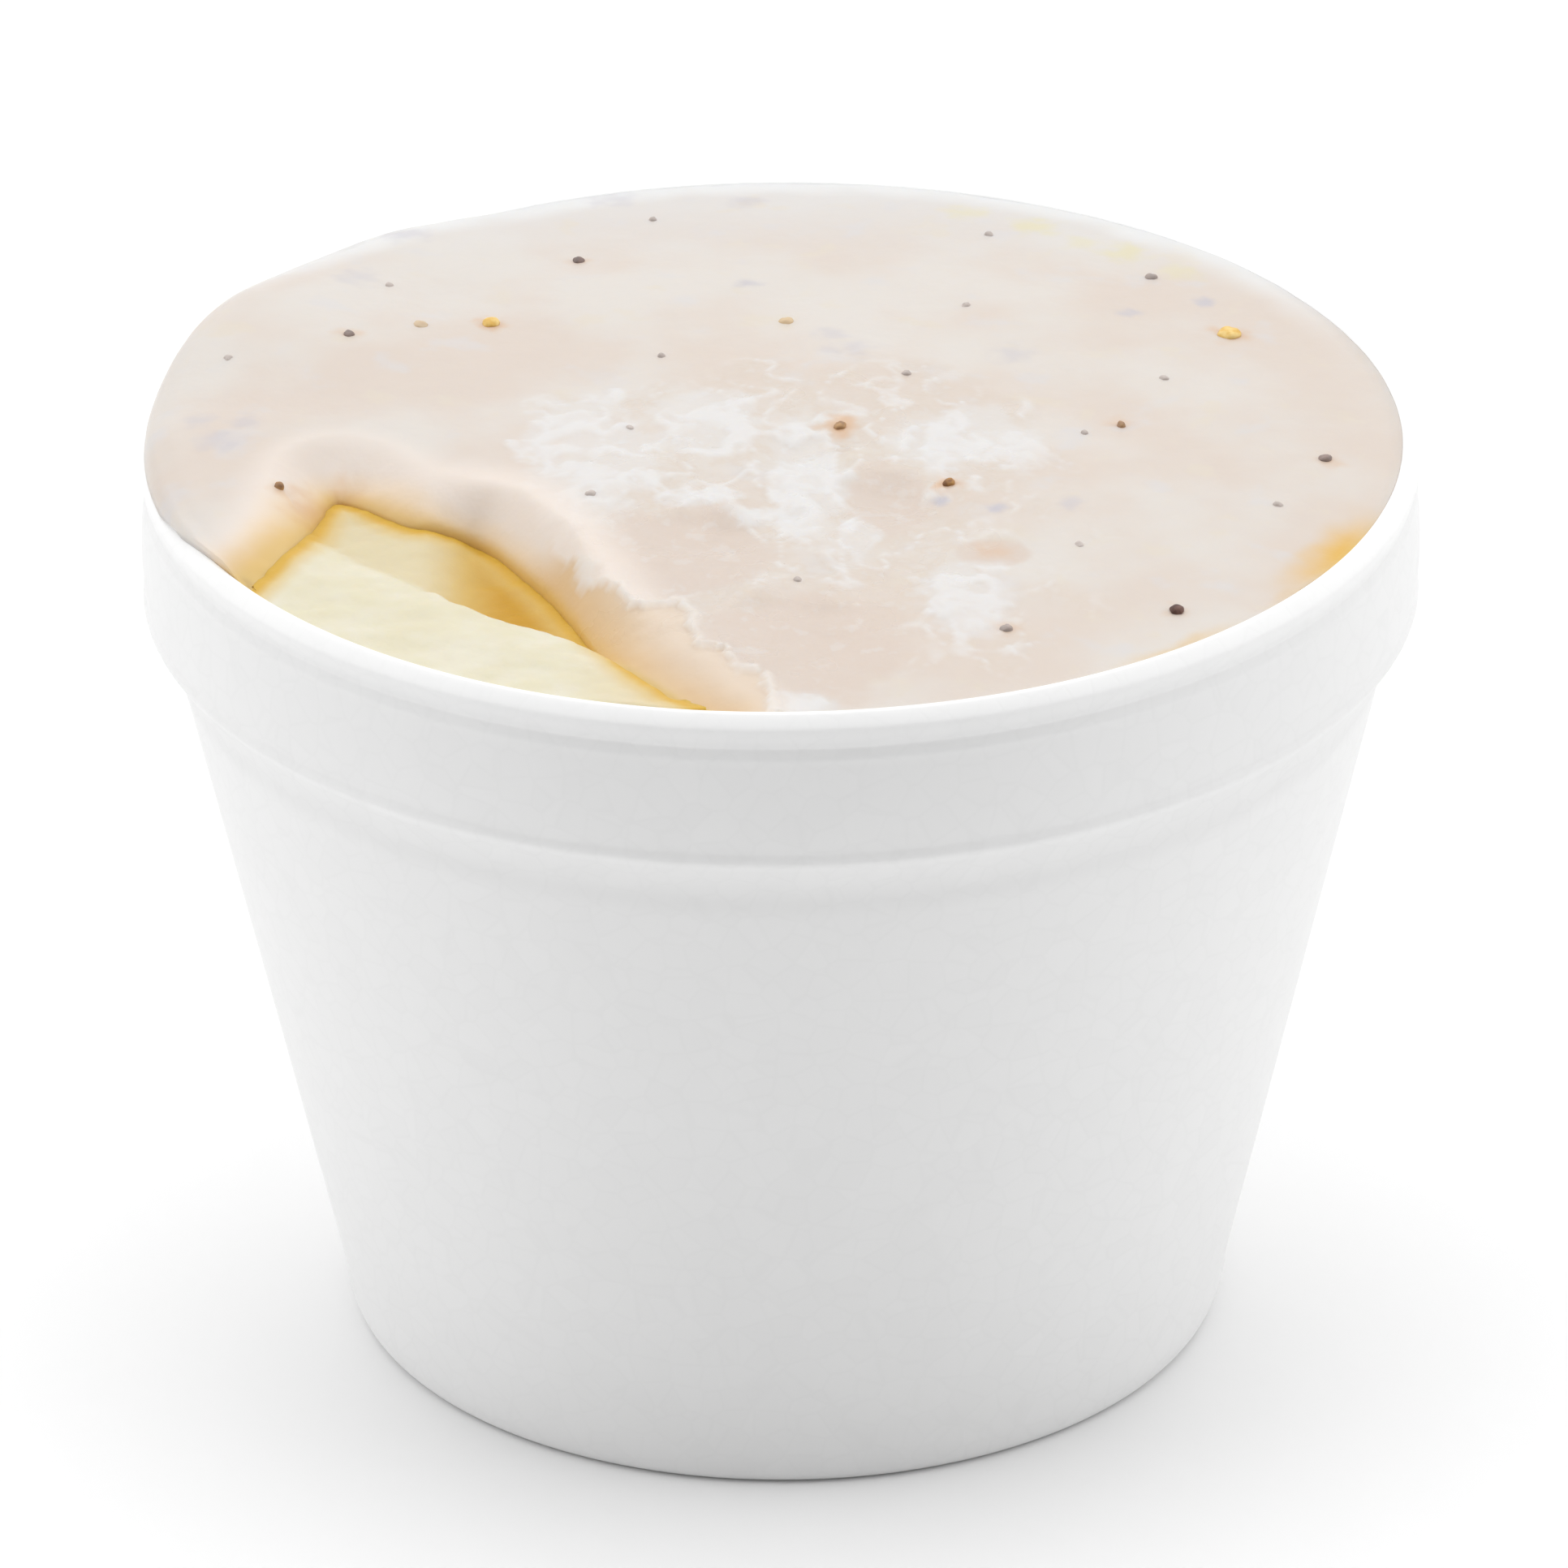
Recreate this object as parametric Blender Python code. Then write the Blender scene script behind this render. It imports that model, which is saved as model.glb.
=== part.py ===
"""Mashed potato side: a squat white foam cup, filled with mashed potato under a thick pepper gravy.

Lengths are in millimetres and angles in degrees, and each mesh is turned into metres as it is made.
The origin is the centre of the cup's foot, +Z is up, and the opening in the gravy faces -X and -Y.
Angles round the cup run anticlockwise from +X, seen from above. A level is a height over the rim.
"""

import math
import random

import bmesh
import bpy
import numpy as np
from mathutils import Matrix, Vector, geometry, noise

MM = 0.001
TURN_SEGMENTS = 64
GAP = 0.3

# Foam cup: outside
RIM_HEIGHT = 66.8
BAND_RADIUS = 45.0
BAND_DROP = 7.5
BAND_HALF_HEIGHT = 4.5
BAND_BULGE = 0.5
RING_DROP = 11.0
RING_BEAD = 0.25
RING_HALF_WIDTH = 0.4
SHOULDER_DROP = 15.4
WALL_FOOT_RADIUS = 31.05
WALL_SLOPE = 0.2257
GROOVE_DROP = 2.5
GROOVE_DEPTH = 0.2
LIP_CREST_RADIUS = 44.05
LIP_OUTER_RADIUS = 44.8
LIP_OUTER_DROP = 1.4
CORNER_HEIGHT = 3.6
CONTACT_RADIUS = 30.3

# Foam cup: foot and inside
FOOT_RING_WIDTH = 1.8
FOOT_RECESS = 1.4
LIP_INNER_RADIUS = 43.5
LIP_INNER_DROP = 0.9
INNER_FOOT_RADIUS = 28.9
INNER_SLOPE = 0.2215
FLOOR_HEIGHT = 3.6
FLOOR_FILLET = 3.0

# Mashed potato
POTATO_CENTRE_LEVEL = -1.5
POTATO_WALL_LEVEL = -2.7
PLATEAU_LEVEL = -0.6
SHELF_DROP = 0.5
HOLLOW_DROP = 1.3
HOLLOW_START_X = -25.0
HOLLOW_RUN = 5.0
TIER_WIDTH = 2.2
TIER_LINE = ((-33.5, -12.5), (-30.5, -17.0), (-26.0, -21.6), (-19.6, -27.0), (-12.8, -32.0), (-7.0, -40.0))

# Pepper gravy: the helping's top, and its edge round the opening at the front left
GRAVY_WALL_LEVEL = -0.4
GRAVY_DOME = 2.5
GRAVY_RADIUS = 43.8
LAP_WIDTH = 0.8
LAP_ANGLES = (124.0, 195.0)
LAP_FADE = 16.0
LAP_ROUNDING = 2.4
LAP_LOBES = ((136.0, 13.0, 1.2), (158.0, 14.0, 3.2), (184.0, 17.0, 2.1), (205.0, 12.0, 0.7))
LOBE_INNER_RADIUS = 18.0
EDGE_HEIGHT = 0.25
CREASE_GAP = 0.38
HIDDEN_GAP = 0.6
CREASE_LINE = (
    (-37.4, -25.4),
    (-34.8, -20.0),
    (-33.1, -16.0),
    (-31.9, -11.2),
    (-30.8, -8.2),
    (-28.6, -9.8),
    (-25.7, -12.3),
    (-22.5, -12.9),
    (-20.3, -14.0),
    (-17.9, -18.0),
    (-15.6, -22.6),
    (-13.2, -28.8),
    (-10.4, -36.0),
    (-4.8, -43.9),
)
EDGE_WIDTH = 1.9
FACE_WIDTH = 5.4
FACE_CENTRE = (-8.5, -35.0)
FACE_REACH = 9.5
FOLD_RISE = 0.55
FOLD_CENTRE = (1.0, -16.0)
FOLD_REACH = (18.0, 25.0)
FOLD_SIZE = 6.5
FOLD_SEED = 4.0
DENTS = ((-6.5, -21.5, 8.5, 0.6), (2.0, -34.0, 8.5, 0.4), (8.0, -14.5, 5.0, 0.5), (15.0, -21.5, 4.0, 0.35))
SWELL_RISE = 0.3

# Pepper flakes: x, y and length of each of the large ones, and the rule for the smaller ones
LARGE_FLAKES = (
    (32.0, 15.5, 1.5),
    (-20.5, 15.7, 1.3),
    (27.0, -28.6, 1.15),
    (38.1, -4.7, 1.15),
    (11.7, -11.9, 1.1),
    (4.2, -3.1, 1.1),
    (-25.5, 14.7, 1.1),
    (0.5, 15.6, 1.1),
    (-14.4, 28.0, 1.0),
    (26.7, 25.2, 1.0),
    (-30.5, 11.8, 1.0),
    (15.3, -32.1, 1.0),
)
SMALL_FLAKE_COUNT = 14
SMALL_FLAKE_LENGTHS = (0.7, 0.95)
SMALL_FLAKE_SPACING = 7.5
FLAKE_FIELD_RADIUS = 40.0
FLAKE_EDGE_MARGIN = 3.0
FLAKE_SEED = 7
FLAKE_SIDES = 5
FLAKE_RINGS = 4
FLAKE_THICKNESS = 0.55
FLAKE_TURN = 137.5

# Spacing of the food's points
GRID_PITCH = 2.7
CREASE_PITCH = 1.5
CREASE_ROWS = (0.12, 0.35, 0.7, 1.0, 1.45)
RIM_PITCH = 2.6
RIM_MARGIN = 0.5
RIM_ROWS = (0.35, 1.0, 2.2)

# Finishes: colour, roughness and subsurface share
FOAM_WHITE = ((0.86, 0.86, 0.85), 0.55, 0.05)
POTATO_CREAM = ((0.89, 0.80, 0.52), 0.5, 0.15)
GRAVY_CREAM = ((0.84, 0.76, 0.66), 0.3, 0.15)


def smooth(share):
    """A share from 0 to 1 that starts and ends gently. It takes numbers and arrays."""
    share = np.clip(share, 0.0, 1.0)
    return share * share * (3.0 - 2.0 * share)


def between(start, end, share):
    return start + (end - start) * share


def hump(offset, reach):
    """One at the middle, falling smoothly to nothing at the reach on both sides."""
    return smooth(1.0 - np.abs(offset) / reach)


def angle_of(x, y):
    return np.degrees(np.arctan2(y, x)) % 360.0


def waves(x, y, size, seed):
    """Soft uneven waves about zero over the places, their width a size in millimetres."""
    shape = np.shape(x)
    spots = zip(np.ravel(x) / size, np.ravel(y) / size)
    return np.array([noise.fractal(Vector((*spot, seed)), 1.0, 2.0, 2) for spot in spots]).reshape(shape)


def curve_points(corners, pitch):
    """Points about a pitch apart on the smooth curve through the corners."""
    points = [Vector(corner) for corner in corners]
    line = []
    for index in range(len(points) - 1):
        before = points[max(index - 1, 0)]
        start = points[index]
        end = points[index + 1]
        after = points[min(index + 2, len(points) - 1)]
        count = max(2, round((end - start).length / pitch))
        for step in range(count):
            t = step / count
            line.append(
                0.5 * (
                    2.0 * start
                    + (end - before) * t
                    + (2.0 * before - 5.0 * start + 4.0 * end - after) * t * t
                    + (3.0 * start - before - 3.0 * end + after) * t ** 3
                )
            )
    line.append(points[-1])
    return np.array([(point.x, point.y) for point in line])


def signed_distance(x, y, line):
    """How far each place lies from the line: positive on the left of the line's direction."""
    shape = np.shape(x)
    places = np.stack([np.ravel(x), np.ravel(y)], axis=1)
    starts = line[:-1]
    runs = line[1:] - starts
    offsets = places[:, None, :] - starts[None, :, :]
    shares = (offsets * runs).sum(axis=2) / (runs * runs).sum(axis=1)
    shares = np.clip(shares, 0.0, 1.0)
    away = offsets - runs * shares[:, :, None]
    lengths = np.hypot(away[:, :, 0], away[:, :, 1])
    nearest = lengths.argmin(axis=1)
    rows = np.arange(len(places))
    across = runs[nearest, 0] * offsets[rows, nearest, 1] - runs[nearest, 1] * offsets[rows, nearest, 0]
    return (lengths[rows, nearest] * np.sign(across)).reshape(shape)


def material(name, finish):
    colour, roughness, subsurface = finish
    made = bpy.data.materials.new(name)
    made.use_nodes = True
    shader = made.node_tree.nodes["Principled BSDF"]
    shader.inputs["Base Color"].default_value = (*colour, 1.0)
    shader.inputs["Roughness"].default_value = roughness
    shader.inputs["Metallic"].default_value = 0.0
    shader.inputs["Subsurface Weight"].default_value = subsurface
    return made


def mesh_object(name, shape, finish):
    """Makes an object from a bmesh in millimetres, with its faces turned outwards."""
    bmesh.ops.recalc_face_normals(shape, faces=shape.faces)
    bmesh.ops.scale(shape, vec=(MM, MM, MM), verts=shape.verts)
    mesh = bpy.data.meshes.new(name)
    shape.to_mesh(mesh)
    shape.free()
    mesh.shade_smooth()
    mesh.set_sharp_from_angle(angle=math.radians(50.0))
    if finish is not None:
        mesh.materials.append(finish)
    made = bpy.data.objects.new(name, mesh)
    bpy.context.collection.objects.link(made)
    return made


def turned(outline):
    """A closed body turned round the Z axis. The outline goes from one point on the axis to another,
    or is a closed loop clear of the axis."""
    shape = bmesh.new()
    rings = []
    for radius, height in outline:
        if radius == 0.0:
            rings.append([shape.verts.new((0.0, 0.0, height))])
            continue
        ring = []
        for step in range(TURN_SEGMENTS):
            angle = math.tau * step / TURN_SEGMENTS
            ring.append(shape.verts.new((radius * math.cos(angle), radius * math.sin(angle), height)))
        rings.append(ring)
    pairs = list(zip(rings, rings[1:]))
    if outline[0][0] > 0.0:
        pairs.append((rings[-1], rings[0]))
    for lower, upper in pairs:
        for step in range(TURN_SEGMENTS):
            after = (step + 1) % TURN_SEGMENTS
            corners = [lower[step % len(lower)], lower[after % len(lower)]]
            corners += [upper[after % len(upper)], upper[step % len(upper)]]
            shape.faces.new(list(dict.fromkeys(corners)))
    return shape


def arc(centre, radii, start, end, steps):
    """Points on an ellipse's arc from one angle to another, both ends included."""
    points = []
    for step in range(steps + 1):
        angle = math.radians(between(start, end, step / steps))
        points.append((centre[0] + radii[0] * math.cos(angle), centre[1] + radii[1] * math.sin(angle)))
    return points


def outer_radius(height):
    """The cup's outside: a straight tapered wall, a soft shoulder, the ring and a bulging band."""
    drop = RIM_HEIGHT - height
    wall = WALL_FOOT_RADIUS + WALL_SLOPE * height
    band = BAND_RADIUS - BAND_BULGE * ((drop - BAND_DROP) / BAND_HALF_HEIGHT) ** 2
    shoulder = float(smooth((SHOULDER_DROP - drop) / (SHOULDER_DROP - RING_DROP)))
    bead = RING_BEAD * math.exp(-(((drop - RING_DROP) / RING_HALF_WIDTH) ** 2))
    return between(wall, band, shoulder) + bead


def inner_radius(height):
    return INNER_FOOT_RADIUS + INNER_SLOPE * height


def cup_outline():
    """From the middle of the foot's recess, up the outside, over the lip and down to the floor."""
    recess_radius = CONTACT_RADIUS - FOOT_RING_WIDTH
    outline = [(0.0, FOOT_RECESS), (recess_radius - FOOT_RECESS / 2.0, FOOT_RECESS), (recess_radius, 0.0)]
    corner_radius = outer_radius(CORNER_HEIGHT) - CONTACT_RADIUS
    outline += arc((CONTACT_RADIUS, CORNER_HEIGHT), (corner_radius, CORNER_HEIGHT), -90.0, 0.0, 4)
    drops = [SHOULDER_DROP + 1.5, SHOULDER_DROP, 14.2, 12.9, 11.9]
    drops += [RING_DROP + 0.35, RING_DROP, RING_DROP - 0.35, 10.0, BAND_DROP, 5.0]
    drops += [GROOVE_DROP + 0.5]
    outline += [(outer_radius(RIM_HEIGHT - drop), RIM_HEIGHT - drop) for drop in drops]
    groove_height = RIM_HEIGHT - GROOVE_DROP
    outline.append((outer_radius(groove_height) - GROOVE_DEPTH, groove_height))
    lip_out = LIP_OUTER_RADIUS - LIP_CREST_RADIUS
    lip_in = LIP_CREST_RADIUS - LIP_INNER_RADIUS
    outline += arc((LIP_CREST_RADIUS, RIM_HEIGHT - LIP_OUTER_DROP), (lip_out, LIP_OUTER_DROP), 0.0, 90.0, 4)
    outline += arc((LIP_CREST_RADIUS, RIM_HEIGHT - LIP_INNER_DROP), (lip_in, LIP_INNER_DROP), 90.0, 180.0, 3)[1:]
    fillet_height = FLOOR_HEIGHT + FLOOR_FILLET
    fillet_centre = (inner_radius(fillet_height) - FLOOR_FILLET, fillet_height)
    outline += arc(fillet_centre, (FLOOR_FILLET, FLOOR_FILLET), 0.0, -90.0, 3)
    outline.append((0.0, FLOOR_HEIGHT))
    return outline


def build_cup():
    finish = material("foam", FOAM_WHITE)
    return mesh_object("foam_cup", turned(cup_outline()), finish)


def potato_level(x, y):
    """The potato's top: a bright plateau by the rim, a shelf behind it and a hollow to the right."""
    radius = np.hypot(x, y)
    under = between(POTATO_CENTRE_LEVEL, POTATO_WALL_LEVEL, (radius / GRAVY_RADIUS) ** 2)
    toward_rim = -signed_distance(x, y, curve_points(TIER_LINE, CREASE_PITCH))
    plateau = smooth(0.5 + toward_rim / TIER_WIDTH)
    hollow = HOLLOW_DROP * smooth((x - HOLLOW_START_X) / HOLLOW_RUN)
    shelf = PLATEAU_LEVEL - SHELF_DROP - hollow
    crown = 0.5 * hump(toward_rim - 4.0, 6.0)
    front = smooth((-y - 4.0) / 6.0) * smooth((2.0 - x) / 6.0)
    opened = between(shelf, PLATEAU_LEVEL + crown, plateau)
    return between(under, opened, front)


def gravy_level(x, y):
    """The gravy's top away from its edges: a low dome, lobes over the left rim, folds and dents."""
    radius = np.hypot(x, y)
    level = GRAVY_WALL_LEVEL + GRAVY_DOME * (1.0 - (radius / GRAVY_RADIUS) ** 2)
    angle = angle_of(x, y)
    outward = smooth((radius - LOBE_INNER_RADIUS) / (GRAVY_RADIUS - LOBE_INNER_RADIUS))
    for lobe_angle, half_width, rise in LAP_LOBES:
        level = level + rise * outward * hump(angle - lobe_angle, 1.6 * half_width)
    level = level + SWELL_RISE * np.sin(x / 5.3 + 0.8) * np.cos(y / 6.1 - 0.4) * (1.0 - outward)
    reach = np.hypot((x - FOLD_CENTRE[0]) / FOLD_REACH[0], (y - FOLD_CENTRE[1]) / FOLD_REACH[1])
    level = level + FOLD_RISE * waves(x, 1.3 * y, FOLD_SIZE, FOLD_SEED) * smooth(1.4 - 1.4 * reach)
    for dent_x, dent_y, dent_reach, depth in DENTS:
        level = level - depth * hump(np.hypot(x - dent_x, y - dent_y), dent_reach)
    return level


def lap_share(angle):
    """How much of the lap over the rim there is: one between the lap's angles, none past them."""
    start, end = LAP_ANGLES
    return smooth((angle - start) / LAP_FADE) * smooth((end + LAP_FADE - angle) / LAP_FADE)


def rounded(share):
    """A quarter of a circle: rises steeply from nothing and levels off at one."""
    share = np.clip(share, 0.0, 1.0)
    return np.sqrt(1.0 - (1.0 - share) ** 2)


def edge_width(x, y):
    """How wide the gravy's rounded edge is: narrow round the opening, a broad face at its right."""
    away = np.hypot(x - FACE_CENTRE[0], y - FACE_CENTRE[1]) / FACE_REACH
    return between(EDGE_WIDTH, FACE_WIDTH, smooth(1.2 - away))


def gravy_heights(x, y, from_crease, from_rim):
    """Top and bottom heights of the gravy at places so far inside the crease and the outer edge."""
    angle = angle_of(x, y)
    bottom = RIM_HEIGHT + potato_level(x, y) + between(CREASE_GAP, HIDDEN_GAP, smooth(from_crease / EDGE_WIDTH))
    top = RIM_HEIGHT + gravy_level(x, y)
    lap_floor = RIM_HEIGHT + GAP + EDGE_HEIGHT
    lapped = between(lap_floor, np.maximum(top, lap_floor), rounded(from_rim / LAP_ROUNDING))
    top = between(top, lapped, lap_share(angle))
    edge_floor = bottom + EDGE_HEIGHT
    top = np.maximum(top, edge_floor)
    top = between(edge_floor, top, rounded(from_crease / edge_width(x, y)))
    return top, bottom


def gravy_footprint():
    """The footprint's outline: the curve round the opening, then the arc round the rim."""
    crease = curve_points(CREASE_LINE, CREASE_PITCH)
    start = float(angle_of(*crease[-1]))
    end = float(angle_of(*crease[0])) + 360.0
    count = round(math.radians(end - start) * GRAVY_RADIUS / RIM_PITCH)
    arc_points = []
    for step in range(1, count):
        angle = between(start, end, step / count)
        radius = GRAVY_RADIUS + LAP_WIDTH * float(lap_share(angle % 360.0))
        arc_points.append((radius * math.cos(math.radians(angle)), radius * math.sin(math.radians(angle))))
    first = crease[0] * (GRAVY_RADIUS + LAP_WIDTH * 0.6) / np.hypot(*crease[0])
    last = crease[-1] * GRAVY_RADIUS / np.hypot(*crease[-1])
    inside = crease[np.hypot(crease[:, 0], crease[:, 1]) < GRAVY_RADIUS - RIM_MARGIN]
    crease = np.vstack([first, inside, last])
    return crease, np.array(arc_points)


def keep_apart(kept, added, spacing):
    """Adds the places that lie at least the spacing from every place kept so far."""
    for place in added:
        if len(kept) == 0 or np.hypot(*(np.array(kept) - place).T).min() >= spacing:
            kept.append(tuple(place))


def inside_loop(places, loop):
    """Which places lie inside the closed loop."""
    x = places[:, 0:1]
    y = places[:, 1:2]
    ends = np.roll(loop, -1, axis=0)
    crosses = (loop[:, 1] > y) != (ends[:, 1] > y)
    rise = np.where(ends[:, 1] == loop[:, 1], 1.0, ends[:, 1] - loop[:, 1])
    meets = (ends[:, 0] - loop[:, 0]) * (y - loop[:, 1]) / rise + loop[:, 0]
    return (crosses & (x < meets)).sum(axis=1) % 2 == 1


def footprint_places(crease, arc_points):
    """Places inside the footprint: rows along the crease and the rim, then an even grid."""
    loop = np.vstack([crease, arc_points])
    runs = np.gradient(crease, axis=0)
    normals = np.stack([-runs[:, 1], runs[:, 0]], axis=1) / np.hypot(runs[:, 0], runs[:, 1])[:, None]
    kept = []
    for row in CREASE_ROWS:
        depths = row * edge_width(crease[:, 0], crease[:, 1])
        candidates = crease + normals * depths[:, None]
        clear = signed_distance(candidates[:, 0], candidates[:, 1], crease) > 0.85 * depths
        keep_apart(kept, candidates[clear & inside_loop(candidates, loop)], 0.2 + 0.6 * row)
    for row in RIM_ROWS:
        lengths = np.hypot(arc_points[:, 0], arc_points[:, 1])
        candidates = arc_points * ((lengths - row) / lengths)[:, None]
        clear = signed_distance(candidates[:, 0], candidates[:, 1], crease) > 1.0
        keep_apart(kept, candidates[clear], 0.9 * min(row, 1.0))
    rows = int(2.0 * GRAVY_RADIUS / (GRID_PITCH * 0.866)) + 2
    grid = []
    for row in range(rows):
        y = (row - rows / 2.0) * GRID_PITCH * 0.866
        shift = GRID_PITCH / 2.0 * (row % 2)
        for column in range(rows):
            grid.append(((column - rows / 2.0) * GRID_PITCH + shift, y))
    grid = np.array(grid)
    from_rim = GRAVY_RADIUS - np.hypot(grid[:, 0], grid[:, 1])
    clear = signed_distance(grid[:, 0], grid[:, 1], crease) > 0.6
    inner = grid[inside_loop(grid, loop) & (from_rim > 1.5) & clear]
    keep_apart(kept, inner, 0.62 * GRID_PITCH)
    return loop, np.array(kept)


def gravy_body():
    """The gravy before it is cut clear of the rim: one sheet of triangles for its top and its bottom."""
    crease, arc_points = gravy_footprint()
    loop, places = footprint_places(crease, arc_points)
    every = np.vstack([loop, places])
    corners = [Vector(place) for place in every]
    outline = [list(range(len(loop)))]
    found = geometry.delaunay_2d_cdt(corners, [], outline, 1, 1e-6)
    flat = np.array([(corner.x, corner.y) for corner in found[0]])
    origins = found[3]
    radius = np.hypot(flat[:, 0], flat[:, 1])
    from_crease = np.maximum(signed_distance(flat[:, 0], flat[:, 1], crease), 0.0)
    share = lap_share(angle_of(flat[:, 0], flat[:, 1]))
    from_rim = np.maximum(GRAVY_RADIUS + LAP_WIDTH * share - radius, 0.0)
    top, bottom = gravy_heights(flat[:, 0], flat[:, 1], from_crease, from_rim)
    shape = bmesh.new()
    upper = [shape.verts.new((*flat[index], top[index])) for index in range(len(flat))]
    lower = [shape.verts.new((*flat[index], bottom[index])) for index in range(len(flat))]
    for face in found[2]:
        shape.faces.new([upper[index] for index in face])
        shape.faces.new([lower[index] for index in reversed(face)])
    place_of = {}
    for index, sources in enumerate(origins):
        for source in sources:
            place_of[source] = index
    edge = [place_of[index] for index in range(len(loop))]
    for start, end in zip(edge, edge[1:] + edge[:1]):
        shape.faces.new([upper[start], lower[start], lower[end], upper[end]])
    return shape


def rim_clearance():
    """A turned ring a gap larger than the cup's lip and inner wall, which the gravy is cut clear of."""
    low = RIM_HEIGHT - 9.0
    lip_height = RIM_HEIGHT - LIP_INNER_DROP
    radii = (LIP_CREST_RADIUS - LIP_INNER_RADIUS + GAP, LIP_INNER_DROP + GAP)
    outline = [(inner_radius(low) - GAP, low)]
    outline += arc((LIP_CREST_RADIUS, lip_height), radii, 180.0, 90.0, 4)
    outline += [(BAND_RADIUS + 2.0, RIM_HEIGHT + GAP), (BAND_RADIUS + 2.0, low)]
    cutter = mesh_object("rim_clearance", turned(outline), None)
    cutter.hide_render = True
    cutter.display_type = "WIRE"
    return cutter


def gravy_surface(x, y):
    """The gravy's top height at one place well inside its edges."""
    far = GRAVY_RADIUS
    top, _ = gravy_heights(np.array([x]), np.array([y]), np.array([far]), np.array([far]))
    return float(top[0])


def all_flakes():
    """The large flakes, then small ones drawn at random where none lies near and the gravy is flat."""
    draw = random.Random(FLAKE_SEED)
    crease = curve_points(CREASE_LINE, CREASE_PITCH)
    flakes = list(LARGE_FLAKES)
    while len(flakes) < len(LARGE_FLAKES) + SMALL_FLAKE_COUNT:
        radius = FLAKE_FIELD_RADIUS * math.sqrt(draw.random())
        angle = math.tau * draw.random()
        x = radius * math.cos(angle)
        y = radius * math.sin(angle)
        nearest = min(math.hypot(x - flake[0], y - flake[1]) for flake in flakes)
        inside = float(signed_distance(np.array([x]), np.array([y]), crease)[0])
        if nearest > SMALL_FLAKE_SPACING and inside > FACE_WIDTH / 2.0 + FLAKE_EDGE_MARGIN:
            flakes.append((x, y, draw.uniform(*SMALL_FLAKE_LENGTHS)))
    return flakes


def flake_body(number, flake):
    """One pepper flake: a small flat grain, sunk by half in the gravy under it."""
    x, y, length = flake
    level = gravy_surface(x, y)
    shape = bmesh.new()
    bmesh.ops.create_uvsphere(shape, u_segments=FLAKE_SIDES, v_segments=FLAKE_RINGS, radius=0.5)
    turn = Matrix.Rotation(math.radians(FLAKE_TURN * number), 3, "Z")
    stretch = Matrix.Diagonal((length, 0.7 * length, FLAKE_THICKNESS))
    bmesh.ops.transform(shape, matrix=(turn @ stretch).to_4x4(), verts=shape.verts)
    bmesh.ops.translate(shape, vec=(x, y, level), verts=shape.verts)
    return mesh_object(f"flake_{number:02d}", shape, None)


def apply_modifiers(piece):
    graph = bpy.context.evaluated_depsgraph_get()
    made = bpy.data.meshes.new_from_object(piece.evaluated_get(graph))
    piece.modifiers.clear()
    piece.data = made


def drop_scraps(piece):
    """Keeps only the largest body of the mesh."""
    shape = bmesh.new()
    shape.from_mesh(piece.data)
    bmesh.ops.remove_doubles(shape, verts=shape.verts, dist=1e-7)
    unseen = set(shape.verts)
    groups = []
    while unseen:
        group = {unseen.pop()}
        front = list(group)
        while front:
            vertex = front.pop()
            for edge in vertex.link_edges:
                other = edge.other_vert(vertex)
                if other in unseen:
                    unseen.discard(other)
                    group.add(other)
                    front.append(other)
        groups.append(group)
    groups.sort(key=len)
    scraps = [vertex for group in groups[:-1] for vertex in group]
    bmesh.ops.delete(shape, geom=scraps, context="VERTS")
    shape.to_mesh(piece.data)
    shape.free()


def build_gravy():
    """The gravy layer, cut clear of the rim, with its pepper flakes joined to it by one union."""
    finish = material("gravy", GRAVY_CREAM)
    gravy = mesh_object("pepper_gravy", gravy_body(), finish)
    trim = gravy.modifiers.new("rim clearance", "BOOLEAN")
    trim.operation = "DIFFERENCE"
    trim.solver = "EXACT"
    trim.object = rim_clearance()
    flakes = bpy.data.collections.new("flakes")
    bpy.context.scene.collection.children.link(flakes)
    for number, flake in enumerate(all_flakes()):
        grain = flake_body(number, flake)
        bpy.context.collection.objects.unlink(grain)
        flakes.objects.link(grain)
    union = gravy.modifiers.new("flakes", "BOOLEAN")
    union.operation = "UNION"
    union.solver = "EXACT"
    union.operand_type = "COLLECTION"
    union.collection = flakes
    apply_modifiers(gravy)
    for grain in list(flakes.objects):
        bpy.data.objects.remove(grain)
    bpy.data.collections.remove(flakes)
    drop_scraps(gravy)
    gravy.data.shade_smooth()
    gravy.data.set_sharp_from_angle(angle=math.radians(50.0))
    return gravy


def potato_rings():
    """Radii of the potato's rings: wide steps in the middle, fine ones where the opening shows it."""
    fine = list(np.arange(19.0, 42.0, 2.1))
    return [8.0, 14.0] + fine


def potato_angles():
    """Angles of the potato's spokes: fine in the sector of the opening, wide elsewhere."""
    fine = list(np.arange(186.0, 282.0, 3.6))
    wide = list(np.arange(290.0, 540.0, 10.0))
    return fine + wide


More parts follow.
